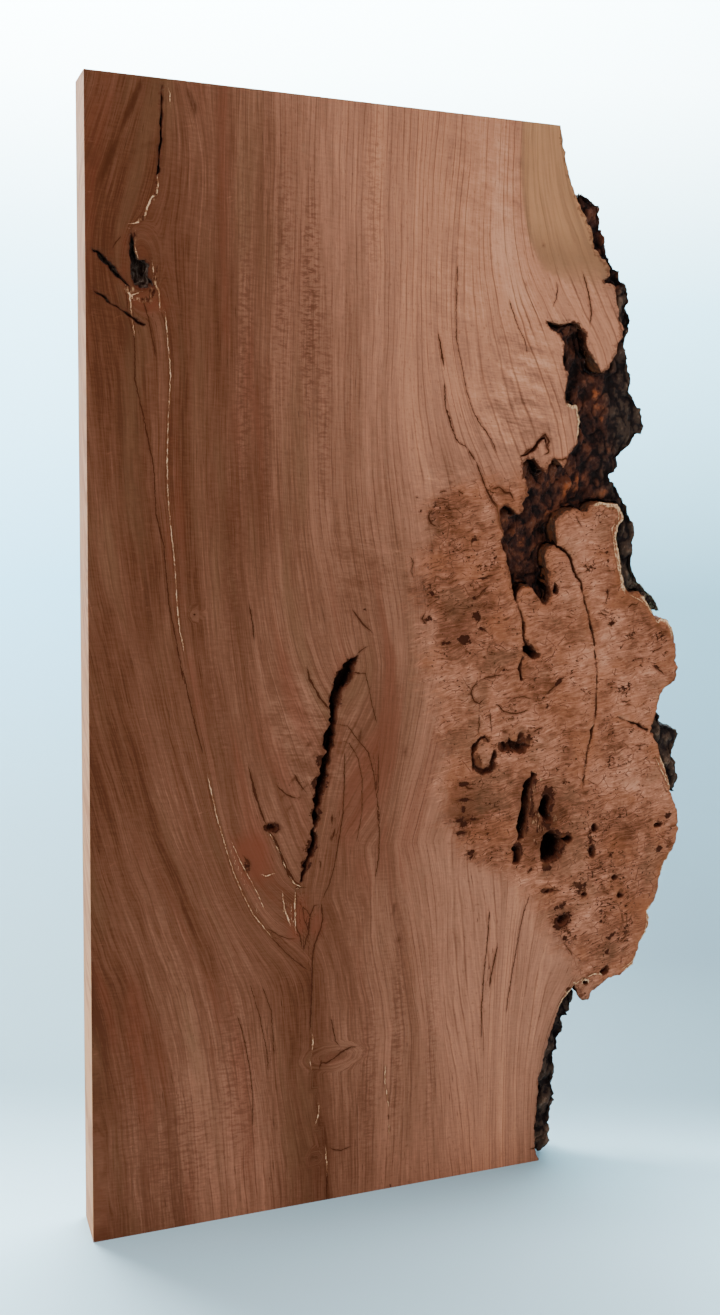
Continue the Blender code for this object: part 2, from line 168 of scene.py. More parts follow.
grain = {
    "leftLines": [
        {"ring": [(914, -90), (0, -120)],
         "tone": [(914, .18), (800, .14), (700, .06), (500, .20), (300, .04), (100, .22), (0, .26)],
         "x": [(914, -30), (834, -70), (750, -60), (600, -60), (450, -50), (300, -20), (200, 0),
               (100, 10), (0, 12)]},
        {"ring": [(914, -22), (700, -40), (0, -48)],
         "tone": [(914, .25), (800, .13), (700, .08), (500, .20), (300, .28), (200, .46), (100, .62),
                  (0, .68)],
         "x": [(914, 47), (880, 32), (850, 20), (834, 13), (800, 2), (750, -4), (700, 0), (650, 4),
               (600, 8), (550, 14), (500, 22), (450, 32), (400, 46), (350, 62), (300, 80), (250, 97),
               (200, 112), (150, 122), (100, 128), (50, 131), (0, 133)]},
        {"ring": [(914, 0), (0, 0)],
         "tone": [(914, .16), (830, .12), (750, .20), (500, .26), (300, .30), (230, .24), (200, .14),
                  (60, .20), (0, .30)],
         "x": [(914, 57), (880, 55.5), (850, 53.5), (830, 49), (812, 40), (800, 37), (780, 42), (760, 50),
               (749, 59), (705, 63), (661, 61), (617, 61), (567, 66), (524, 69), (492, 74), (455, 80),
               (417, 88), (380, 96), (354, 102), (330, 109), (308, 116), (288, 124), (270, 133),
               (250, 148), (231, 164), (214, 183), (200, 185), (160, 186), (117, 187), (74, 193),
               (49, 200), (0, 203)]},
        {"ring": [(914, 23), (300, 20), (214, 4), (0, 4)],
         "tone": [(914, .28), (830, .2), (700, .26), (500, .3), (350, .33), (300, .26), (214, .14),
                  (0, .1)],
         "x": [(914, 70), (897, 80), (887, 84), (860, 87), (830, 86), (800, 82), (760, 78), (700, 79),
               (650, 78), (600, 78), (560, 80), (520, 83), (460, 91), (410, 100), (370, 107), (334, 115),
               (320, 121), (304, 129), (287, 138), (270, 146), (252, 158), (245, 170), (236, 180),
               (214, 187), (160, 190), (117, 191), (74, 197), (49, 204), (0, 207)]},
        {"ring": [(914, 39), (296, 42), (214, 8), (0, 8)],
         "tone": [(914, .36), (800, .3), (700, .28), (600, .31), (450, .34), (350, .32), (300, .25),
                  (214, .12), (0, .12)],
         "x": [(914, 98), (700, 98), (650, 99), (600, 101), (560, 104), (520, 108), (475, 113),
               (440, 119), (400, 127), (378, 132), (348, 142), (324, 154), (308, 159), (296, 166),
               (290, 172), (270, 176), (250, 181), (214, 189), (160, 193), (117, 194), (74, 200),
               (49, 207), (0, 210)]},
        {"ring": [(914, 93), (0, 93)],
         "tone": [(914, .6), (800, .5), (700, .46), (600, .42), (475, .43), (400, .38), (300, .28),
                  (0, .25)],
         "x": [(914, 150), (650, 151), (600, 153), (550, 158), (500, 167), (475, 176), (458, 184),
               (440, 194), (400, 215), (350, 242), (300, 270), (0, 400)]},
        {"ring": [(914, 127), (0, 127)],
         "tone": [(914, .74), (850, .72), (700, .58), (600, .52), (474, .42), (0, .4)],
         "x": [(914, 184), (700, 184), (650, 186), (600, 190), (560, 197), (530, 204), (500, 211),
               (485, 215), (474, 219), (400, 260), (300, 330), (0, 480)]},
        {"ring": [(914, 260), (0, 260)],
         "tone": [(914, 1), (0, 1)],
         "x": [(914, 322), (850, 326), (600, 420), (0, 700)]},
    ],
    "rightLines": [
        {"ring": [(914, -40), (0, -40)],
         "tone": [(914, .1), (0, .1)],
         "x": [(914, 0), (0, 0)]},
        {"ring": [(914, 124), (474, 130), (0, 130)],
         "tone": [(914, .72), (700, .58), (600, .5), (500, .45), (474, .4), (400, .36), (300, .3),
                  (200, .12), (0, .1)],
         "x": crackLine},
        {"ring": [(914, 126), (474, 131), (450, 134), (412, 142), (330, 160), (277, 154), (211, 136),
                  (0, 133)],
         "tone": [(914, .73), (600, .52), (500, .46), (450, .38), (400, .34), (300, .3), (200, .12),
                  (0, .12)],
         "x": [(914, 183), (600, 192), (530, 207), (485, 220), (470, 217), (440, 213), (412, 211),
               (370, 210), (350, 209.6), (330, 207), (304, 203), (290, 199), (277, 193), (260, 191),
               (240, 188), (228, 187), (160, 189), (117, 190), (74, 196), (0, 206)]},
        {"ring": [(914, 130), (474, 138), (400, 156), (320, 176), (240, 162), (180, 148), (0, 142)],
         "tone": [(914, .74), (700, .62), (600, .56), (500, .46), (450, .28), (400, .26), (350, .34),
                  (250, .36), (180, .30), (130, .50), (0, .54)],
         "x": [(914, 188), (700, 190), (600, 198), (560, 206), (530, 213), (500, 222), (480, 227),
               (460, 232), (442, 236), (420, 240), (392, 241), (354, 241), (330, 241), (300, 238),
               (270, 233), (240, 226), (211, 219), (180, 215), (148, 213), (100, 211), (50, 211),
               (0, 212)]},
        {"ring": [(914, 173), (480, 176), (400, 190), (320, 206), (240, 190), (150, 176), (0, 174)],
         "tone": [(914, .86), (850, .84), (700, .7), (600, .64), (540, .57), (450, .52), (300, .54),
                  (200, .56), (130, .60), (0, .60)],
         "x": [(914, 230), (700, 231), (650, 234), (600, 241), (560, 250), (520, 258), (480, 263),
               (440, 265), (400, 265), (300, 265), (200, 262), (100, 258), (0, 256)]},
        {"ring": [(914, 191), (480, 197), (320, 226), (150, 198), (0, 194)],
         "tone": [(914, .92), (850, .9), (700, .8), (600, .7), (540, .62), (450, .6), (300, .68),
                  (200, .7), (100, .64), (0, .64)],
         "x": [(914, 248), (700, 252), (650, 258), (600, 267), (560, 276), (500, 284), (450, 288),
               (400, 290), (300, 290), (200, 288), (100, 291), (50, 292), (0, 293)]},
        {"ring": [(914, 211), (320, 244), (0, 214)],
         "tone": [(914, .95), (700, .96), (600, .74), (400, .68), (200, .8), (100, .76), (0, .72)],
         "x": [(914, 268), (850, 269), (800, 272), (760, 276), (730, 281), (700, 289), (661, 302),
               (640, 312), (600, 332), (540, 348), (450, 345), (300, 318), (200, 309), (150, 312),
               (100, 318), (0, 320)]},
        {"ring": [(914, 233), (320, 266), (0, 236)],
         "tone": [(914, .98), (700, 1), (600, .82), (300, .82), (200, .84), (0, .8)],
         "x": [(914, 290), (850, 291), (800, 292), (742, 296), (700, 309), (674, 321), (649, 339),
               (600, 372), (550, 382), (450, 385), (300, 362), (250, 360), (216, 357), (180, 354),
               (100, 350), (0, 348)]},
        {"ring": [(914, 265), (320, 294), (0, 262)],
         "tone": [(914, 1.04), (780, 1.08), (700, .9), (300, .86), (200, .86), (100, .82), (0, .8)],
         "x": [(914, 322), (850, 326), (800, 334), (777, 342), (739, 359), (700, 382), (660, 402),
               (500, 430), (400, 430), (300, 402), (258, 389), (236, 382), (200, 376), (154, 371),
               (100, 368), (0, 366)]},
        {"ring": [(914, 292), (320, 318), (0, 288)],
         "tone": [(914, 1), (780, 1.08), (700, .92), (300, .86), (200, .86), (0, .78)],
         "x": [(914, 349), (860, 352), (825, 360), (800, 370), (770, 390), (740, 420), (500, 480),
               (400, 490), (300, 455), (250, 428), (200, 404), (150, 392), (100, 386), (0, 384)]},
        {"ring": [(914, 328), (0, 322)],
         "tone": [(914, .9), (700, .86), (200, .72), (0, .62)],
         "x": [(914, 386), (861, 403), (816, 428), (758, 458), (700, 485), (600, 510), (400, 560),
               (300, 560), (200, 470), (165, 438), (131, 421), (100, 412), (50, 408), (0, 411)]},
        {"ring": [(914, 460), (0, 460)],
         "tone": [(914, .9), (0, .6)],
         "x": [(914, 540), (0, 700)]},
    ],
    "smooth": 15,
    "seamTop": 484,
    # Knots that the rings close round: x, z, half width, half height, reach.
    "knots": [(41, 780, 11, 24, 1.1), (206, 134, 17, 7, 1.3), (190.8, 41.5, 4.5, 4.5, 1.4),
              (82, 521, 2.5, 2.5, 1.5), (352, 474, 3.5, 3.5, 1.4), (399, 560, 9, 9, 1.2),
              (338, 524, 10, 10, 1.2)],
}


def softened(pairs):
    # The curve on every mm of height, with its corners rounded.
    span = int(4 * grain["smooth"])
    heights = np.arange(-span, slab["height"] + span + 1)
    raw = curveAlongHeight(pairs, np.clip(heights, 0, slab["height"]))
    offsets = np.arange(-span, span + 1)
    weights = np.exp(-0.5 * (offsets / grain["smooth"]) ** 2)
    rounded = np.convolve(raw, weights / weights.sum(), mode="same")
    return rounded[span:len(heights) - span]


def readLines(lines, x, z):
    # Ring count and tone of points, worked out between the two lines that they lie between.
    row = np.clip(z, 0, slab["height"]) / slab["height"]
    heights = np.linspace(0, 1, int(slab["height"]) + 1)
    places = [np.interp(row, heights, softened(line["x"])[:len(heights)]) for line in lines]
    ring = np.zeros(len(x))
    tone = np.zeros(len(x))
    for left, right, placeLeft, placeRight in zip(lines, lines[1:], places, places[1:]):
        inside = (x >= placeLeft) if left is not lines[0] else np.ones(len(x), bool)
        share = np.clip((x - placeLeft) / np.maximum(placeRight - placeLeft, 0.5), 0, 1)
        ringLeft, ringRight = (curveAlongHeight(line["ring"], z) for line in (left, right))
        ringHere = (1 - share) * ringLeft + share * ringRight
        toneLeft, toneRight = (curveAlongHeight(line["tone"], z) for line in (left, right))
        toneHere = (1 - share) * toneLeft + share * toneRight
        ring = np.where(inside, ringHere, ring)
        tone = np.where(inside, toneHere, tone)
    return ring, tone


def readGrain(x, z):
    ringLeft, toneLeft = readLines(grain["leftLines"], x, z)
    ringRight, toneRight = readLines(grain["rightLines"], x, z)
    seam = curveAlongHeight(crackLine, z)
    above = np.maximum(z - grain["seamTop"], 0)
    right = ease(-1, 1, (x - seam) / (0.3 + above * 0.35))
    ring = ringLeft * (1 - right) + ringRight * right
    tone = toneLeft * (1 - right) + toneRight * right
    for knotX, knotZ, wide, high, reach in grain["knots"]:
        away = np.hypot((x - knotX) / wide, (z - knotZ) / high)
        hold = np.exp(-(away / reach) ** 4)
        ring = ring * (1 - hold) + (away * min(wide, high) + 40) * hold
    return ring, tone


# Lines drawn on the face, under the name of their attributes. Each has its half width in mm and its corners.

faceLines = {
    # Cracks and gum lines.
    "dark": [
        (0.5, [(35, 749), (36, 720), (36, 699), (42, 674), (50, 636), (52, 599), (58, 574), (62, 530),
               (67, 505), (74, 467)]),
        (0.5, [(42, 757), (46, 745), (49, 731), (52, 715)]),
        (0.3, [(55, 751), (59, 741), (60, 731)]),
        (0.4, [(29, 769), (31, 747), (35, 731)]),
        (0.5, [(27, 803), (22, 796), (19, 791)]),
        (1.0, [(281, 745), (283, 738), (285, 728), (287, 719)]),
        (0.6, [(288, 707), (289.5, 688), (294, 675), (298.5, 664), (301, 660), (311, 654)]),
        (0.8, [(292, 684), (295, 673), (300, 662), (304, 657)]),
        (0.35, [(311, 654), (315, 649), (319, 643)]),
        (0.4, [(296, 800), (296, 770), (297, 742), (303, 720), (308, 700), (312, 690), (317, 680), (322, 673),
               (327, 668), (332, 662), (339, 649)]),
        (0.8, [(317, 681), (322, 673), (327, 668), (331, 663)]),
        (0.4, [(342, 777), (347, 765), (352, 754), (359, 743), (362, 731)]),
        (0.4, [(385, 793), (387, 785), (386, 777), (383, 770)]),
        (0.7, [(410, 800), (414, 790), (418, 778), (420, 768), (419, 758)]),
        (0.9, [(359, 218), (357, 205), (354, 190), (353, 178)]),
        (0.5, [(350, 252), (349, 225), (347, 195), (346, 160), (347, 130)]),
        (0.4, [(389, 262), (384, 246), (381, 232), (378, 210), (375, 190), (372, 165), (371, 150)]),
        (0.5, [(210, 404), (210, 370), (209.6, 350), (207, 330), (203, 304), (199, 290), (193, 277)]),
        (0.4, [(219, 470), (226, 469), (230, 456), (233, 442), (238, 425)]),
        (0.7, [(192, 274), (194, 260), (192, 250), (187, 238), (185.5, 228), (185.5, 205), (185, 180),
               (184.5, 160)]),
        (1.1, [(175.7, 475), (178, 466), (182.6, 458), (187, 450), (192, 444), (195.5, 440)]),
        (0.8, [(213, 523), (218, 516), (224, 509), (231, 503)]),
        (0.8, [(219, 485), (223, 489), (227, 491)]),
        (0.9, [(216, 470), (222, 469)]),
        (1.2, [(128, 394), (131.5, 380), (134, 370), (138, 359), (142, 348)]),
        (1.7, [(145, 340), (149.5, 333.6), (153, 326.6), (157.6, 315), (163.4, 302), (167, 296.5),
               (172.6, 290), (176, 289)]),
        (0.6, [(126, 530), (129, 515), (131, 498)]),
        (0.5, [(90, 408), (84, 430), (78, 455), (74, 475)]),
        (0.4, [(148, 250), (156, 240), (164, 231), (174, 222), (183, 214)]),
        (0.4, [(143, 258), (156, 249), (165, 245), (171, 245)]),
        (0.6, [(203, 26), (203, 12), (203, 0)]),
        (0.4, [(120, 184), (126, 164), (131.5, 136), (134.6, 110), (135, 80)]),
        (0.35, [(131, 210), (140, 179), (146, 150), (148.5, 127)]),
        (0.35, [(141.5, 207), (150, 182), (153, 142)]),
        (0.9, [(194, 124), (195, 130), (200, 128.5), (208, 133), (215, 137.7), (222, 140), (228, 140)]),
        (0.5, [(205, 49), (210, 46), (215, 44.6), (226, 47)]),
        (0.8, [(402, 13), (407, 13.5), (412, 12)]),
        (0.5, [(259, 72), (259.7, 66)]),
        (0.6, [(263, 4), (263.5, 0)]),
        (0.45, [(240, 400), (240.5, 375), (240, 354), (243, 330), (243, 310), (240, 290)]),
        (0.45, [(203, 171), (207.7, 148.5), (212, 142)]),
        (0.45, [(183, 262), (180, 268), (176, 272), (177, 262), (181, 252), (183, 244)]),
        (0.8, [(166, 388), (170, 380), (176, 372)]),
        (0.7, [(152, 378), (160, 370), (170, 366)]),
        (0.8, [(200, 350), (200, 342)]),
        (0.7, [(203, 338), (201, 330)]),
        (0.6, [(190, 312), (191, 304)]),
        (1.2, [(125, 320), (129, 314), (128, 306)]),
        (0.4, [(203, 427), (212, 425), (221, 413), (230.5, 402), (236, 384), (239, 366), (242, 349),
               (243, 335)]),
        (0.35, [(207, 413.5), (214, 410), (222, 397), (226, 378), (226.6, 350), (222, 323)]),
        (0.6, [(191, 273), (185.8, 272), (182.5, 263), (181.7, 249), (179.4, 243), (177, 232)]),
        (0.6, [(169, 289), (170, 279), (168.4, 265), (171, 254), (174, 247), (176, 236)]),
    ],
    # Short arcs and marks on the burl.
    "squiggle": [
        (0.5, [(311, 654), (316, 647), (319, 643)]),
        (0.9, [(319.4, 642.8), (324, 632.7), (328.4, 622.5)]),
        (1.5, [(328.4, 622.5), (333.8, 613.7), (340, 606), (342, 599), (345, 588)]),
        (0.9, [(334, 621), (341.6, 622.6), (346.7, 618.2), (351.7, 618.3), (355.3, 612.4)]),
        (1.1, [(361.3, 649.3), (367, 653.3), (372.8, 655.3), (375.5, 661.4), (381.7, 666.8), (386, 661.6),
               (384, 657.6), (386.4, 652.4), (382, 649.7)]),
        (0.8, [(388.5, 642), (391, 647), (398.8, 646), (403.3, 647.5), (406.5, 643.5)]),
        (0.9, [(280.9, 603), (278.6, 600), (278.3, 596.5), (280.5, 592), (284.6, 590)]),
        (0.5, [(287, 617), (291, 619), (294, 618)]),
        (0.5, [(304, 620), (306, 618), (309, 616)]),
        (0.4, [(265, 614), (269, 613)]),
        (0.5, [(415, 600), (418, 594), (423, 588)]),
        (0.5, [(365, 522), (371, 505), (371, 494)]),
        (0.8, [(336, 540), (331, 536), (326, 531), (323, 529)]),
        (1.1, [(326.5, 517), (328, 512), (326, 508)]),
        (1.1, [(328, 503), (332, 503), (336, 500)]),
        (0.7, [(352, 463), (345, 462), (338, 461), (332, 459)]),
        (0.7, [(330, 457), (325, 454), (323, 448), (326, 441), (331, 438.5), (336, 442)]),
        (0.6, [(345, 437), (350, 436), (354, 431), (362, 428.5), (370, 428), (379, 431)]),
        (0.35, [(356, 436), (362, 441), (372, 443), (382, 440)]),
        (0.45, [(331, 430), (332, 420), (331, 414), (334, 409)]),
        (0.45, [(341, 432), (343, 422), (344, 411)]),
        (0.7, [(384, 410.4), (389, 412.7), (393.4, 414.4)]),
        (0.8, [(395, 443), (399, 447), (403, 450), (408, 453)]),
        (1.2, [(405, 451), (408, 456), (412, 458)]),
        (0.6, [(484, 524), (481, 521), (476, 521), (472, 518)]),
        (0.9, [(452, 503), (457, 505), (461, 506)]),
        (0.4, [(440, 513), (446, 514), (453, 511)]),
        (0.9, [(501, 466), (506, 463), (514, 457)]),
        (0.4, [(480, 471), (487, 472), (493, 473)]),
        (0.5, [(487, 393), (492, 392), (502, 393)]),
        (0.5, [(478, 497), (475, 494), (478, 491), (482, 490)]),
        (0.4, [(500, 478), (506, 480), (512, 483)]),
        (0.5, [(470, 434), (475, 434), (478, 432)]),
        (0.5, [(438, 372), (437, 355)]),
        (0.4, [(453, 536), (451, 528), (448, 520)]),
        (0.5, [(507, 378), (510, 380), (515, 379), (518, 376)]),
        (0.9, [(320, 368), (324, 364), (330, 363)]),
        (0.9, [(313, 354), (321, 355), (329, 353)]),
        (0.9, [(312, 338), (320, 335), (330, 336)]),
        (0.8, [(314, 326), (320, 324), (326, 325)]),
        (0.9, [(319, 349), (319, 344)]),
        (0.5, [(385, 281), (388, 284), (391, 285)]),
        (0.6, [(402, 264.5), (410, 262.5), (418, 263)]),
        (0.5, [(428, 264), (433, 266), (438, 265)]),
        (0.6, [(426, 230), (429, 224), (432, 219)]),
        (0.4, [(425, 213), (431, 206), (437, 197)]),
        (0.4, [(262, 566), (266, 560), (264, 553), (267, 546)]),
        (0.8, [(278, 518), (275, 513), (280, 508)]),
        (0.6, [(330, 547), (335, 548), (340, 549)]),
    ],
    # Pith fibres, and torn rims at the live edge. The first four lines, along the left branch of the crotch
    # crack, are painted glints of light on torn fibres.
    "pale": [
        (0.32, [(146, 338), (149.5, 332)]),
        (0.32, [(152, 327), (154.5, 321.5)]),
        (0.28, [(158, 313), (160.5, 307.5)]),
        (0.40, [(165, 298), (169, 292.5), (174, 290)]),
        (0.65, [(53, 846), (53.5, 840), (52, 832), (48.7, 830.6), (46, 824), (44, 817.5), (38.7, 812),
                (34.4, 811)]),
        (0.6, [(34, 803), (36.5, 794), (38.5, 786)]),
        (0.5, [(49.5, 783), (50.5, 772), (54, 764), (55, 752)]),
        (0.6, [(29, 768), (31, 762), (34, 760), (39, 762)]),
        (0.32, [(59, 749), (61, 727), (63, 705), (62, 683), (61, 661), (60.5, 640), (61, 617), (63, 592),
                (66, 567), (67.5, 545), (69, 524), (71, 508), (74, 492)]),
        (0.28, [(94, 390), (96, 380), (102, 354), (109, 330), (116, 308), (124, 288), (133, 270),
                (148, 250)]),
        (0.22, [(114, 334), (120, 320), (128, 304), (137, 287), (143, 272)]),
        (0.45, [(32, 763), (34, 745), (35.5, 733)]),
        (0.5, [(187, 156), (187.5, 148), (186.5, 141)]),
        (0.4, [(185.5, 132), (186, 128)]),
        (0.5, [(194, 91), (194.5, 84), (193, 79), (191.5, 74)]),
        (0.5, [(201.5, 50), (202, 38), (203, 26)]),
        (0.4, [(255, 120), (255, 102), (257, 92), (259, 80)]),
        (0.5, [(260, 60), (260.5, 54)]),
        (0.5, [(169, 286), (169, 270), (170, 252)]),
        (0.35, [(62, 905), (62.5, 897)]),
        (0.5, [(141, 303), (145, 302), (149, 303.5)]),
        (0.5, [(158, 286), (160, 272), (165, 258)]),
        (0.6, [(439, 609), (445.6, 607), (454.4, 607), (457.5, 602), (458, 596.5), (454, 591.6), (451.5, 588),
               (454, 578), (456, 568), (459, 558.7), (461, 550.8), (464.5, 541), (468, 532)]),
        (0.5, [(475, 529), (484, 525), (493, 519), (499, 510)]),
        (0.55, [(424, 150), (428.4, 158.5), (433, 164), (439, 169.5), (445, 173), (451.4, 175), (459.6, 178),
                (466, 177)]),
        (0.5, [(489, 179), (496, 183), (502, 187.5)]),
        (0.4, [(508, 201.5), (511.5, 212.8), (512.5, 224.4), (512.5, 234)]),
        (0.5, [(511, 380), (516, 371), (522, 361), (527, 352), (530, 345)]),
        (0.5, [(401, 694), (410, 690), (413, 680), (413, 668)]),
    ],
}


def distanceToLines(lines, x, z):
    # Signed distance to the nearest line, and its half width there.
    best = np.full(len(x), 99.0)
    signed = np.full(len(x), 99.0)
    width = np.zeros(len(x))
    for half, path in lines:
        xs = [p[0] for p in path]
        zs = [p[1] for p in path]
        near = (x > min(xs) - 8) & (x < max(xs) + 8) & (z > min(zs) - 8) & (z < max(zs) + 8)
        where = np.nonzero(near)[0]
        if len(where) == 0:
            continue
        lengths = [0.0]
        for (ax, az), (bx, bz) in zip(path, path[1:]):
            lengths.append(lengths[-1] + math.hypot(bx - ax, bz - az))
        bestHere = np.full(len(where), 99.0)
        signHere = np.zeros(len(where))
        alongHere = np.zeros(len(where))
        for index, ((ax, az), (bx, bz)) in enumerate(zip(path, path[1:])):
            length = lengths[index + 1] - lengths[index]
            dx = (bx - ax) / length
            dz = (bz - az) / length
            px = x[where] - ax
            pz = z[where] - az
            along = np.clip(px * dx + pz * dz, 0, length)
            gap = np.hypot(px - along * dx, pz - along * dz)
            side = np.where(px * dz - pz * dx >= 0, 1.0, -1.0)
            closer = gap < bestHere
            bestHere = np.where(closer, gap, bestHere)
            signHere = np.where(closer, side, signHere)
            alongHere = np.where(closer, lengths[index] + along, alongHere)
        total = lengths[-1]
        taper = ease(0, min(6, total / 3), alongHere) * ease(0, min(6, total / 3), total - alongHere)
        closer = bestHere < best[where]
        chosen = where[closer]
        best[chosen] = bestHere[closer]
        signed[chosen] = (bestHere * signHere)[closer]
        width[chosen] = half * (0.25 + 0.75 * taper[closer])
    return signed, width * (1 - ease(2.6, 4.2, best))


# Soft patches on the face, under the name of their attribute: x, z, half width, half height, turn in degrees,
# strength.

